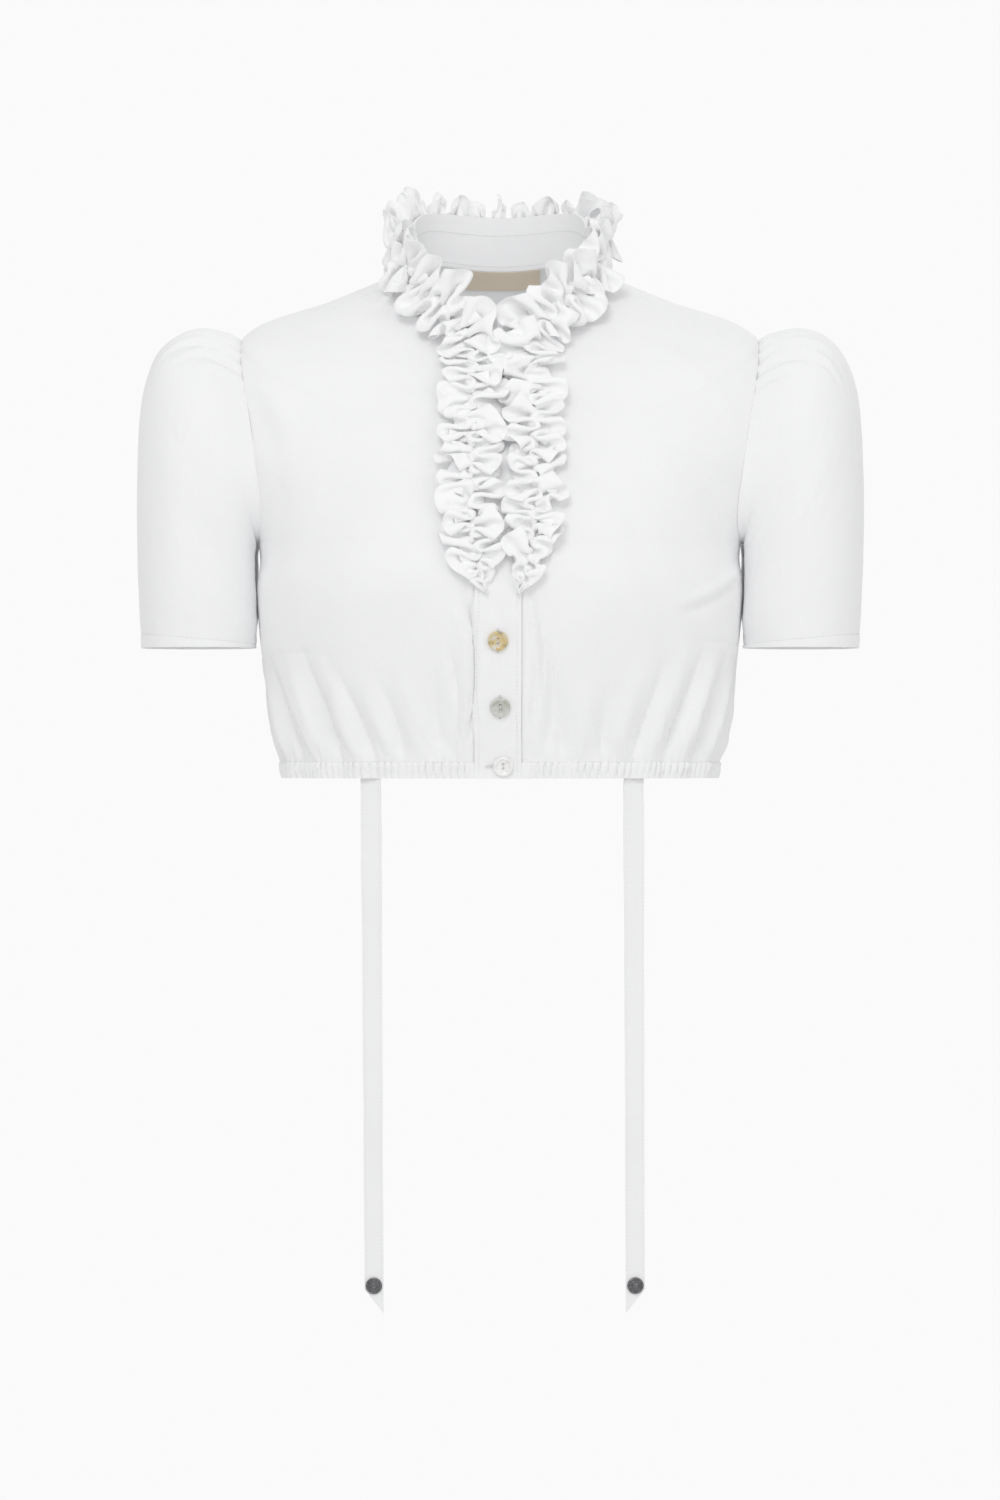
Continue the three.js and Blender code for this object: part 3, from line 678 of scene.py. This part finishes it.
def front_band(node, from_x, to_x, lift, columns):
    x = np.linspace(from_x, to_x, columns)[:, None]
    edge = np.minimum(x - from_x, to_x - x)

    def surface(u, v):
        z = bodice(u, v)[..., 2]
        ripple = 0.35 * noise(x * 2.5, z, 34, 12) * smooth_step(1, 6, edge)
        rolled = -0.5 * hump(edge, 0.9) - 0.18 * hump(edge - EDGE_STITCH, 0.7)
        return raised(bodice, u, v, lift + ripple + rolled)

    level = PLACKET_LEVELS[None, :]
    add_cloth(node, shell(f"{node}_cloth", surface, front_angle(level, x), level, poplin), "poplin")


front_band("placket", PLACKET_LEFT_X, PLACKET_RIGHT_X, ON_FRONT + 0.4, 32)
front_band("button_band", PLACKET_LEFT_X + 0.2, PLACKET_RIGHT_X - 0.2, 0, 16)
placket_lines = [
    on_surface(bodice, front_angle(PLACKET_LEVELS, x), PLACKET_LEVELS, ON_FRONT + CLOTH / 2 + 0.25)
    for x in (PLACKET_LEFT_X + EDGE_STITCH, PLACKET_RIGHT_X - EDGE_STITCH)
]
add_stitches("placket", placket_lines, "poplin")

# Elastic casing: a doubled hem that bulges between its stitch lines
CASING_DEPTH = 12
SEAM_TURN = 0.001
casing_right_end = front_angle(CASING_TOP, PLACKET_LEFT_X - 0.2)
casing_left_end = front_angle(CASING_TOP, PLACKET_RIGHT_X + 0.2)


def casing(node, low, high):
    columns = int(1.7 * (casing_length(high) - casing_length(low)))
    lengths = np.linspace(casing_length(low), casing_length(high), columns)
    angle = np.interp(lengths, CASING_LENGTHS, CASING_TURNS)[:, None]
    z = CASING_TOP_Z - np.linspace(0.1, CASING_DEPTH, 14)
    level = level_at(0, z)[None, :]
    down = ((CASING_TOP_Z - z) / CASING_DEPTH)[None, :]

    def surface(u, v):
        swell = np.sin(math.pi * np.clip(down, 0, 1)) ** 0.5
        wave = crimp(u, CRIMP_PITCH, 1.5 * down) + 0.4 * crimp(u, 2.7, -2 * down)
        lift = 0.3 + 0.5 * swell + 1.1 * (0.4 + 0.6 * swell) * wave - 0.5 * hump(down, 0.06)
        return raised(bodice, u, v, lift)

    piece = shell(f"{node}_cloth", surface, angle, level, poplin, thickness=1.4, proud=0.6)
    add_cloth(node, piece, "poplin")


casing("casing_right", SEAM_TURN - SIDE, casing_right_end)
casing("casing_left", casing_left_end, SIDE - SEAM_TURN)
casing("casing_back", SIDE + SEAM_TURN, 2 * math.pi - SIDE - SEAM_TURN)
for node, low, high in (("casing_right", -SIDE, casing_right_end), ("casing_left", casing_left_end, SIDE),
                        ("casing_back", SIDE, 3 * SIDE)):
    line = on_surface(bodice, np.linspace(low, high, 600), level_at(0, CASING_TOP_Z - 1.2), 0.75)
    add_stitches(node, [line], "poplin")


# Sleeves

def armhole_edge(turn):
    """The sleeve's edge at the armhole, a seam's gap off the bodice."""
    def edge(t):
        level = SHOULDER + (UNDERARM - SHOULDER) * (1 - np.cos(t)) / 2
        return SIDE - ARMHOLE_HALF_ANGLE * np.sin(t), level

    along = bodice(*edge(turn + STEP)) - bodice(*edge(turn - STEP))
    normal = normal_at(bodice, *edge(turn))
    return bodice(*edge(turn)) + unit(np.cross(normal, along)) * ARMHOLE_GAP


def sleeve(side, seed):
    """A sleeve's middle surface, pleated into the armhole: round the arm, and down its table."""
    pleats = np.random.default_rng(seed)
    strength = pleats.uniform(0.65, 1.25, PLEATS_ROUND)
    reach = pleats.uniform(3.2, 5.4, PLEATS_ROUND)

    def plain(turn, level, lift):
        row = row_at(SLEEVE, level)
        outer, inner = (
            vectors(row[f"{end}_x"], 0 * turn, row[f"{end}_z"]) for end in ("outer", "inner")
        )
        radial = (outer - inner) / 2 * signed_power(np.cos(turn), 2 / SLEEVE_POWER)[..., None]
        radial[..., 1] = -row["depth"] * signed_power(np.sin(turn), 2 / SLEEVE_POWER)
        return (outer + inner) / 2 + radial + unit(radial) * lift[..., None]

    def pleated(turn, level):
        nearest = np.arctan2(np.sin(turn), np.cos(turn))
        pleat = nearest / CAP.spread * CAP.count
        which = (np.round(pleat / 2).astype(int) + PLEATS_ROUND // 2) % PLEATS_ROUND
        spread = 1 - smooth_step(0.7, 1, np.abs(nearest) / CAP.spread)
        off_seam = smooth_step(0, 0.8, level)
        fade = 1 - smooth_step(1, reach[which], level)
        phase = pleat * math.pi
        wave = np.cos(phase + 0.45 * np.sin(phase)) * strength[which]
        tuck = hump(pleat % 2 - 1, 0.15) * (1 - smooth_step(0.4, 0.62 * reach[which], level))
        puff = smooth_step(0, 0.5, level) * (1 - smooth_step(0.8, 3.5, level))
        return spread * (
            CAP.depth * ((0.4 + 0.6 * off_seam) * fade * wave - 0.4 * (1 - off_seam))
            - CAP.tuck * strength[which] * (0.35 + 0.65 * off_seam) * tuck
            + CAP.puff * puff
        )

    def surface(u, level):
        turn = -side * u
        down, sideways = level * SLEEVE_ROW_LENGTH, turn * SLEEVE_RADIUS
        waves = (0.8 * np.sin(3 * turn + 0.5 * seed) * smooth_step(3, 7, level)
                 + 0.7 * noise(sideways, down, 60, seed) + 0.12 * noise(sideways, down, 16, seed + 9))
        past_stitch = level - SLEEVE_STITCH_ROW
        lift = pleated(turn, level) + smooth_step(0.5, 3.5, level) * waves
        lift = lift + 0.35 * smooth_step(-0.01, 0.03, past_stitch) - 0.3 * hump(past_stitch, 0.03)
        point = plain(turn, level, lift)
        # Under the arm the cloth lies against the body, closest in front and behind
        inner = smooth_step(0.1, 1, -np.cos(turn)) * smooth_step(0.7, 2.4, level)
        ahead = smooth_step(0, 28, -point[..., 1])
        behind = smooth_step(0, 28, point[..., 1]) * (1 - smooth_step(7, 8.2, level))
        closer = (2.2 + 4.2 * ahead) * (1 - 0.6 * smooth_step(7.5, 9, level)) + 5 * behind
        point[..., 0] -= inner * closer
        to_edge = armhole_edge(turn) - plain(turn, 0 * level, 0 * lift)
        point = point + to_edge * (np.clip(1 - level / 2.5, 0, None) ** 2)[..., None]
        return point * np.array([side, 1, 1])

    return surface


SLEEVE_LEVELS = np.concatenate([
    np.linspace(0, 2.5, 30), np.linspace(2.5, 6, 32)[1:], np.linspace(6, SLEEVE_HEM, 44)[1:],
])
for name, side, seed in (("right", -1, 21), ("left", 1, 34)):
    surface = sleeve(side, seed)
    u = np.linspace(-math.pi, math.pi, 241)[:-1, None]
    u = u - 0.42 * np.sin(u)
    piece = shell(f"sleeve_{name}_cloth", surface, u, SLEEVE_LEVELS[None, :], poplin, ring=True)
    add_cloth(f"sleeve_{name}", piece, "poplin")
    turns = np.linspace(-math.pi, math.pi, 400)
    hem_line = on_surface(surface, turns, SLEEVE_STITCH_ROW, CLOTH / 2 + 0.1)
    add_stitches(f"sleeve_{name}", [hem_line], "poplin")

# Collar band, with rows of stitches near its edges
collar_end = float(angle_at_x(row_at(COLLAR, 0), 2.2))
collar_turns = np.linspace(collar_end, 2 * math.pi - collar_end, 220)
collar_rows = np.linspace(0, 1.036, 24)


def collar_surface(angle, share):
    lift = 0.35 * noise(angle * COLLAR_RADIUS, share * COLLAR_HEIGHT, 46, 41)
    for row in COLLAR_STITCH_ROWS:
        lift = lift - 0.25 * hump(share - row, 0.025)
    return raised(collar, angle, share, lift)


collar_band = shell("collar_cloth", collar_surface, collar_turns[:, None], collar_rows[None, :], poplin,
                    thickness=1.8, proud=0.95)
add_cloth("collar_band", collar_band, "poplin")
collar_lines = []
for row in COLLAR_STITCH_ROWS:
    points, normals = on_surface(collar_surface, collar_turns, row, -0.85)
    collar_lines.append((points, -normals))
add_stitches("collar_band", collar_lines, "poplin", radius=0.3)


# Ruffle strips

def ruffle_line(side):
    """Stations along the sewn line of one strip, with normals, as a table."""
    on_placket = ON_FRONT + CLOTH / 2 + 0.3 + 0.5
    turned = RUFFLE.tip_shift * (1 - smooth_step(0, RUFFLE.taper, RUFFLE_FRONT_Z - RUFFLE_FRONT_Z[0]))
    stations = []
    for z, shift in zip(RUFFLE_FRONT_Z, turned):
        x = RUFFLE.middle_x + side * (RUFFLE.from_middle - shift)
        level = level_at(x, z)
        stations.append(on_surface(bodice, np.array([front_angle(level, x)]), np.array([level]), on_placket))
    for angle, share in zip(*RUFFLE_COLLAR.values()):
        distance = 1.8 + 0.9 * smooth_step(0.32, 0.6, share)
        stations.append(on_surface(collar, np.array([side * angle * DEGREE]), np.array([share]), distance))
    rows = np.concatenate([np.concatenate(station, axis=1) for station in stations])
    return dict(zip("x y z nx ny nz".split(), rows.T))


def near_pairs(points, reach):
    """Pairs of points that lie in one cell of space, or in cells next to each other."""
    cells = np.floor(points / reach).astype(np.int64) + 4096
    keys = (cells[:, 0] << 28) + (cells[:, 1] << 14) + cells[:, 2]
    order = np.argsort(keys, kind="stable")
    ranked = keys[order]
    steps = [(x << 28) + (y << 14) + z for x in (-1, 0, 1) for y in (-1, 0, 1) for z in (-1, 0, 1)]
    pairs = []
    for shift in (step for step in steps if step >= 0):
        low = np.searchsorted(ranked, ranked + shift, "left")
        counts = np.searchsorted(ranked, ranked + shift, "right") - low
        first = np.repeat(np.arange(len(ranked)), counts)
        within = np.arange(counts.sum()) - np.repeat(np.cumsum(counts) - counts, counts)
        second = np.repeat(low, counts) + within
        keep = second > first
        pairs.append(np.stack([order[first[keep]], order[second[keep]]]))
    return np.concatenate(pairs, axis=1)


def pull(points, weights, first, second, rest, strength, only_apart=False):
    """Moves two sets of points towards their rest distance."""
    a, b = points[first], points[second]
    weight_a, weight_b = weights[first], weights[second]
    gap = b - a
    distance = np.maximum(np.linalg.norm(gap, axis=-1, keepdims=True), 1e-6)
    error = distance - rest
    if only_apart:
        error = np.minimum(error, 0)
    move = gap / distance * error * strength / np.maximum(weight_a + weight_b, 1e-6)
    points[first] = a + move * weight_a
    points[second] = b - move * weight_b


def keep_open(points, free, axis, offset, cell, span, least, strength):
    """Keeps points a span of cells apart from folding flat, for one offset, whose pairs share none."""
    pairs = len(range(offset + span, points.shape[axis], 2 * span))
    first = slice(offset, offset + 2 * span * pairs, 2 * span)
    second = slice(offset + span, None, 2 * span)
    if axis == 1:
        first, second = (slice(None), first), (slice(None), second)
    pull(points, free, first, second, least * cell, strength, only_apart=True)


def pushed_apart(points, first, second):
    """Moves pairs of points that are too near each other apart, by a little at once."""
    gap = points[second] - points[first]
    distance = np.maximum(np.linalg.norm(gap, axis=-1, keepdims=True), 1e-4)
    push = SOLVER.push * np.minimum(distance - GATHER.apart, 0) * gap / distance
    shift = vectors(*(
        np.bincount(first, push[:, k], len(points)) - np.bincount(second, push[:, k], len(points))
        for k in range(3)
    ))
    shift *= np.minimum(1, 1.2 / np.maximum(np.linalg.norm(shift, axis=-1, keepdims=True), 1e-6))
    return points + shift


def gathered_strip(length, seed):
    """A strip of cloth that is gathered along its middle, over a flat base: along, across, up.

    Its cloth grows from the gathered length to its full one, and buckles as it does."""
    g = GATHER
    random = np.random.default_rng(seed)
    rows = 2 * int(g.half / g.cell) + 1
    columns = int(g.fullness * length / g.cell)
    seam = rows // 2
    v = np.linspace(-g.half, g.half, rows)
    down = v[1] - v[0]
    away = np.abs(v)
    start, across = np.meshgrid(np.linspace(0, length, columns), v, indexing="ij")
    tilt = math.radians(g.tilt)
    sway = g.sway * noise(start, 40 * np.sign(across), g.wave, seed) * np.abs(across) / g.half
    points = vectors(
        start,
        across * math.cos(tilt) + sway * math.sin(tilt) * np.sign(across),
        g.floor + np.abs(across) * math.sin(tilt) - sway * math.cos(tilt),
    )
    points += random.normal(0, 0.15, points.shape)
    sewn = vectors(start[:, seam], 0.0, g.floor)
    points[:, seam] = sewn
    free = np.ones((columns, rows, 1))
    free[:, seam] = 0
    column, row = grid_cells(columns, rows)
    every = slice(None)
    evens_and_odds = [(slice(odd, -1, 2), slice(odd + 1, None, 2)) for odd in (0, 1)]
    before = points.copy()
    for step in range(g.steps):
        grown = min(1, (step + 1) / (0.72 * g.steps))
        full = 1 / g.fullness + (1 - 1 / g.fullness) * smooth_step(0, g.sewn, away) * grown
        full = full * (1 + g.edge * grown * smooth_step(0.45, 1, away / g.half))
        along = (g.cell * full)[None, :, None]
        slanted = np.sqrt(((along[:, :-1] + along[:, 1:]) / 2) ** 2 + down**2)
        moved = points + SOLVER.speed * (points - before) * free
        before, points = points, moved
        for _ in range(g.passes):
            for here, there in evens_and_odds:
                pull(points, free, (here, every), (there, every), along, SOLVER.thread)
            for here, there in evens_and_odds:
                pull(points, free, (every, here), (every, there), down, SOLVER.thread)
            for here, there in evens_and_odds:
                for low, high in ((slice(0, -1), slice(1, None)), (slice(1, None), slice(0, -1))):
                    pull(points, free, (here, low), (there, high), slanted, SOLVER.shear)
            for offset in range(2 * LONG_BEND["span"]):
                keep_open(points, free, 0, offset, along, **LONG_BEND)
            for offset in range(2 * SHORT_BEND["span"]):
                keep_open(points, free, 0, offset, along, **SHORT_BEND)
                keep_open(points, free, 1, offset, down, **CROSS_BEND)
        flat = points.reshape(-1, 3)
        if step % 2 == 0:
            first, second = near_pairs(flat, g.apart)
            at_seam = (np.abs(row[first] - seam) < 3) & (np.abs(row[second] - seam) < 3)
            joined = (np.abs(column[first] - column[second]) < 4) & (np.abs(row[first] - row[second]) < 3)
            keep = ~at_seam & ~joined
            first, second = first[keep], second[keep]
        points = pushed_apart(flat, first, second).reshape(points.shape)
        top = g.ceiling + g.uneven * noise(points[..., 0], points[..., 1], 24, seed + 1)
        points[..., 2] += 0.5 * np.minimum(top - points[..., 2], 0)
        points[..., 2] = np.maximum(points[..., 2], g.floor)
        beyond = np.maximum(np.abs(points[..., 1]) - g.reach, 0)
        points[..., 1] -= 0.4 * beyond * np.sign(points[..., 1])
        points[..., 0] = np.clip(points[..., 0], -2, length + 2)
        points[:, seam] = sewn
    return points


def refined(points, axis):
    """A grid with more points along one axis, on smooth curves through its own."""
    points = np.moveaxis(points, axis, 0)
    count = int(len(points) * FINER)
    values = row_at({"grid": points}, np.linspace(0, len(points) - 1, count))["grid"]
    return np.moveaxis(values, 0, axis)


def ruffle_strip(side, seed, wide):
    """A gathered strip's middle surface and normals, laid along its sewn line on the blouse."""
    line = ruffle_line(side)
    last = len(line["x"]) - 1
    fine = np.linspace(0, last, 1500)

    def at(place, names):
        values = row_at(line, place)
        return vectors(*(values[name] for name in names))

    reached = lengths_along(at(fine, "xyz"))
    strip = refined(refined(gathered_strip(reached[-1] - RUFFLE.end_gap, seed), 0), 1)
    u, v, w = np.moveaxis(strip, -1, 0)
    u = u + RUFFLE.end_gap
    place = np.interp(u, reached, fine)
    # Past an end of the sewn line the strip goes straight on
    beyond = u - np.clip(u, 0, reached[-1])
    along = unit(at(place + STEP, "xyz") - at(place - STEP, "xyz"))
    normal = unit(at(place, ("nx", "ny", "nz")))
    across = unit(np.cross(normal, along)) * side
    tip = np.sin(np.clip(u / RUFFLE.taper, 0, 1) * math.pi / 2)
    # It is wider where it turns onto the collar and at the sides of the neck, and flat at its tip
    turn = hump(place - len(RUFFLE_FRONT_Z) - 1, 2)
    on_collar = smooth_step(8, 11, place)
    at_side = on_collar * (1 - smooth_step(14.5, 17.5, place))
    wider = (wide - 1) * (1 - turn) + (0.5 * turn + 0.1 * on_collar) * (v > 0) + 0.1 * at_side
    v = v * tip * (1 + wider)
    w = w * (0.25 + 0.75 * tip) * (0.75 + 0.25 * on_collar + 0.3 * at_side)
    middle = at(place, "xyz") + along * beyond[..., None] + across * v[..., None] + normal * w[..., None]
    return middle, unit(np.cross(np.gradient(middle, axis=0), np.gradient(middle, axis=1))) * side


for name, side, seed, wide in (("right", -1, 5, 1.12), ("left", 1, 8, 1.02)):
    middle, normal = ruffle_strip(side, seed, wide)
    out = normal * RUFFLE.half_wall
    add_cloth(f"ruffle_{name}", wall(f"ruffle_{name}_cloth", middle + out, middle - out, batiste), "ruffle")


# Buttons, threads and buttonholes

def nacre_material(name, tint, shade, gleam):
    material, tree, shader = principled(name, {"Roughness": 0.18, "Coat Weight": 0.7, "Coat Roughness": 0.06})
    # Bands of noise run through the shade, gleam and tint colours; the gleam colour is a painted glint
    bands = grain(tree, {"Scale": 110, "Detail": 1.5, "Distortion": 1.2})
    set_inputs(tree, shader, {
        "Base Color": ramp(tree, bands, {0.3: shade, 0.45: gleam, 0.62: tint}),
        "Normal": bumped(tree, bands, 0.25, 0.1 * MM),
    })
    return material


# The top and middle buttons wear darker copies of one white nacre: their dark tones are painted reflection
# and painted shade. The hem button shows the nacre's own white.
NACRES = {
    "button_top": nacre_material("nacre_gold_painted_reflection", (0.7, 0.68, 0.62), (0.38, 0.33, 0.24), (0.66, 0.5, 0.2)),
    "button_middle": nacre_material("nacre_grey_painted_reflection", (0.62, 0.62, 0.59), (0.3, 0.33, 0.31), (0.5, 0.51, 0.44)),
    "button_hem": nacre_material("nacre_white", (0.93, 0.93, 0.92), (0.78, 0.78, 0.76), (0.88, 0.87, 0.85)),
}
BUTTON_PROFILE = np.array([
    (0, 1.5), (2.6, 1.52), (3.6, 1.6), (4.35, 1.72), (4.9, 2.05), (5.35, 2.42), (5.9, 2.6), (6.4, 2.58),
    (6.85, 2.4), (7.15, 1.95), (7.25, 1.4), (7.2, 0.8), (6.9, 0.3), (6.3, 0.02), (0, 0),
])


def on_frame(point, normal, local):
    """Local points, with +Z along a normal and +Y up, moved to a point."""
    right = unit(np.cross([0, 0, 1.0], normal))
    up = np.cross(normal, right)
    return point + local @ np.stack([right, up, normal])


def disc(name, profile, point, normal, material, dimples=(), around=72, steps=4):
    """A turned piece with dimples for holes."""
    reach = np.linspace(0, len(profile) - 1, (len(profile) - 1) * steps + 1)
    radius = np.interp(reach, np.arange(len(profile)), profile[:, 0])
    height = np.interp(reach, np.arange(len(profile)), profile[:, 1])
    turn = np.linspace(0, 2 * math.pi, around, endpoint=False)[:, None]
    x, y = radius * np.cos(turn), radius * np.sin(turn)
    z = np.broadcast_to(height, x.shape).copy()
    top = reach < len(profile) * 0.5
    for cx, cy, hole in dimples:
        away = np.hypot(x - cx, y - cy)
        z -= np.where(top, HOLE_DEPTH * (1 - smooth_step(hole * 0.75, hole * 1.15, away)), 0)
    grid = vectors(x, y, z)
    inner = grid[:, 1:-1].reshape(-1, 3)
    count = grid.shape[1] - 2
    points = np.concatenate([inner, grid[:1, 0], grid[:1, -1]])
    i, j = grid_cells(around, count - 1)
    here, after = i * count + j, (i + 1) % around * count + j
    faces = np.stack([here, here + 1, after + 1, after], axis=-1).tolist()
    first, last = len(inner), len(inner) + 1
    for a in range(around):
        b = (a + 1) % around
        faces.append([first, a * count, b * count])
        faces.append([last, b * count + count - 1, a * count + count - 1])
    return make_piece(name, on_frame(point, normal, points), faces, material)


def tube(name, path, radius, material, around=8):
    """A thread along a path."""
    path = np.asarray(path, float)
    tangent = unit(np.gradient(path, axis=0))
    side = unit(np.cross(tangent, [0.3, 1.0, 0.2]))
    up = np.cross(side, tangent)
    turn = np.linspace(0, 2 * math.pi, around, endpoint=False)[None, :, None]
    grid = path[:, None] + radius * (side[:, None] * np.cos(turn) + up[:, None] * np.sin(turn))
    count = len(path)
    i, j = grid_cells(count - 1, around)
    here, after = i * around + j, i * around + (j + 1) % around
    faces = np.stack([here, after, after + around, here + around], axis=-1).tolist()
    faces.append(list(range(around))[::-1])
    faces.append([(count - 1) * around + k for k in range(around)])
    return make_piece(name, grid.reshape(-1, 3), faces, material)


def buttonhole(lies_flat):
    """A closed line of close stitches round a slit, which lies flat in the casing and else upright."""
    t = np.linspace(0, 2 * math.pi, 90)
    along = signed_power(np.cos(t), 0.5) * BUTTONHOLE.half_length
    across = signed_power(np.sin(t), 0.5) * BUTTONHOLE.half_width
    up = -0.25 + 0.12 * np.abs(np.sin(t * BUTTONHOLE.stitches / 2))
    if lies_flat:
        return vectors(along - BUTTONHOLE.shift, across, up)
    return vectors(across, along, up)


for name, x, z in BUTTONS:
    level = level_at(x, z)
    angles = front_angle(level, x) + np.array([-0.04, 0, 0.04])
    angles, levels = np.meshgrid(angles, level + np.array([-0.1, 0, 0.1]))
    points, normals = on_surface(bodice, angles, levels, ON_FRONT + CLOTH / 2 + 0.9)
    point, normal = points[1, 1], unit(normals.mean(axis=(0, 1)))
    piece = disc(f"{name}_shell", BUTTON_PROFILE, point, normal, NACRES[name], BUTTON_HOLES)
    finish_piece(piece, "nacre", name)
    for k, shift in enumerate((-0.22, 0.22)):
        t = np.linspace(0, 1, 15)
        local = vectors(shift, -1.7 + 3.4 * t, 0.7 + 1.25 * np.sin(math.pi * t) ** 0.5)
        strand = tube(f"{name}_thread_{k + 1}", on_frame(point, normal, local), 0.2, thread)
        finish_piece(strand, "nacre")
    ring = buttonhole(name == "button_hem")
    finish_piece(tube(f"{name}_hole", on_frame(point, normal, ring), 0.34, thread), "poplin")


# Ties with rivets

def ribbon(x, drift, side, seed):
    """A tie's middle surface: across it, and down the rows of its table."""
    last = len(RIBBON["z"]) - 1
    row = CASING_TOP + 0.5
    top = bodice(np.array([front_angle(row, x)]), np.array([row]))[0]

    def surface(across, place):
        row = row_at(RIBBON, place)
        turn = side * row["turn"] * DEGREE
        slant = np.maximum(0, place - last + 1) * RIBBON_POINT * (1 - side * across) / 2
        down = place * RIBBON_ROW_LENGTH
        wobble = 0.35 * noise(across * 7, down, 40, seed) + 0.12 * noise(across * 7, down, 12, seed + 1)
        edge = 0.15 * noise(0 * across, down, 30, seed + 2)
        return vectors(
            x + drift * place / last + across * row["width"] * np.cos(turn) / 2 + edge,
            top[1] + INSIDE_CASING + row["sway"] + across * row["width"] * np.sin(turn) / 2 + wobble,
            row["z"] - slant,
        )

    return surface


RIVET_PROFILE = np.array([
    (0, 1.75), (1.2, 1.72), (2.0, 1.6), (2.35, 1.25), (2.7, 1.2), (3.05, 1.55), (3.6, 1.6), (4.0, 1.2),
    (4.35, 1.15), (4.7, 1.5), (5.2, 1.5), (5.7, 1.25), (6.0, 0.8), (6.0, 0.2), (5.8, 0), (0, 0),
])


def metal_material():
    material, tree, shader = principled("dark_nickel", {"Metallic": 1})
    grime = grain(tree, {"Scale": 700, "Detail": 4})
    rough = new_node(tree, "ShaderNodeMapRange", {"Value": grime, "To Min": 0.22, "To Max": 0.45})
    set_inputs(tree, shader, {
        "Base Color": ramp(tree, grime, {0: (0.07, 0.07, 0.075), 1: (0.3, 0.3, 0.31)}),
        "Roughness": rough.outputs["Result"],
    })
    return material


metal = metal_material()
for name, x, drift, side in RIBBONS:
    surface = ribbon(x, drift, side, 60 + side)
    across = np.linspace(-1, 1, 13)[:, None]
    place = np.linspace(0, len(RIBBON["z"]) - 1, 330)[None, :]
    piece = shell(f"tie_{name}_cloth", surface, across, place, tape, thickness=0.9, proud=0.45)
    add_cloth(f"tie_{name}", piece, "ribbon")
    lines = [on_surface(surface, edge, np.linspace(0.05, 6.9, 900), 0.4) for edge in (-0.8, 0.8)]
    add_stitches(f"tie_{name}", lines, "ribbon")
    points, normals = on_surface(surface, np.array([0.0]), np.array([RIVET_ROW]), 0.8)
    rivet = disc(f"rivet_{name}_cap", RIVET_PROFILE, points[0], normals[0], metal)
    finish_piece(rivet, "rivet", f"rivet_{name}")

# Label inside the back of the neck
LABEL_HALF_WIDTH = 30
label_x = np.linspace(-LABEL_HALF_WIDTH, LABEL_HALF_WIDTH, 60)[:, None]
label_levels = np.linspace(0.04, 0.6, 18)[None, :]
label_angle = math.pi - front_angle(label_levels, label_x)
label = shell("neck_label_cloth", bodice, label_angle, label_levels, label_cloth, thickness=0.6, proud=-0.5)
add_cloth("neck_label", label, "label")

# Floor, light and camera
WHITE = (1, 1, 1, 1)
FLOOR_Z = -1.45  # where someone who wears the blouse would stand
FLOOR_REACH = 2.3
LIGHTS_AIM = Vector((0, 0, -0.25))
FRAME_MIDDLE = Vector((0, 0, -0.3404))
FRAME_HEIGHT = 1.11
CAMERA_AWAY = 5
SENSOR = 36  # its height, one and a half times its width


def pale_floor():
    mesh = bpy.data.meshes.new("floor")
    corners = [(x * FLOOR_REACH, y * FLOOR_REACH, FLOOR_Z) for x, y in ((-1, -1), (1, -1), (1, 1), (-1, 1))]
    mesh.from_pydata(corners, [], [(0, 1, 2, 3)])
    mesh.materials.append(principled("floor", {
        "Base Color": (0.8, 0.8, 0.8, 1), "Specular IOR Level": 0, "Emission Color": WHITE,
        "Emission Strength": 0.1,
    })[0])
    floor = bpy.data.objects.new("floor", mesh)
    bpy.context.scene.collection.objects.link(floor)


def look_at(thing, place, target):
    """Puts a light or camera in its place, turned to a target."""
    thing.location = place
    thing.rotation_euler = (target - Vector(place)).to_track_quat("-Z", "Y").to_euler()
    bpy.context.scene.collection.objects.link(thing)


def area_light(name, place, size, power):
    data = bpy.data.lights.new(name, "AREA")
    data.size = size
    data.energy = power
    look_at(bpy.data.objects.new(name, data), place, LIGHTS_AIM)


def white_studio():
    """A white world, brighter where the camera sees it than as a light."""
    world = bpy.data.worlds.new("studio")
    bpy.context.scene.world = world
    world.use_nodes = True
    tree = world.node_tree
    light = tree.nodes["Background"]
    set_inputs(tree, light, {"Color": WHITE, "Strength": 0.73})
    seen = new_node(tree, "ShaderNodeBackground", {"Color": WHITE, "Strength": 0.957})
    path = tree.nodes.new("ShaderNodeLightPath")
    mix = new_node(tree, "ShaderNodeMixShader", {
        "Fac": path.outputs["Is Camera Ray"], 1: light.outputs["Background"], 2: seen.outputs["Background"],
    })
    set_inputs(tree, tree.nodes["World Output"], {"Surface": mix.outputs["Shader"]})


pale_floor()
area_light("key", (-0.5, -2.6, 1.5), 1.1, 19)
area_light("fill", (1.6, -2.4, 0.4), 2.0, 6)
area_light("back", (0.9, 2.6, 1.6), 1.4, 14)
white_studio()

# White cloth sends light on between its folds many times
bpy.context.scene.cycles.diffuse_bounces = 10

camera_data = bpy.data.cameras.new("camera")
camera_data.sensor_fit = "VERTICAL"
camera_data.sensor_height = SENSOR
camera_data.sensor_width = SENSOR * 2 / 3
camera_data.lens = SENSOR * CAMERA_AWAY / FRAME_HEIGHT
camera = bpy.data.objects.new("camera", camera_data)
look_at(camera, FRAME_MIDDLE + Vector((0, -CAMERA_AWAY, 0)), FRAME_MIDDLE)
bpy.context.scene.camera = camera
bpy.context.scene.view_settings.view_transform = "Standard"
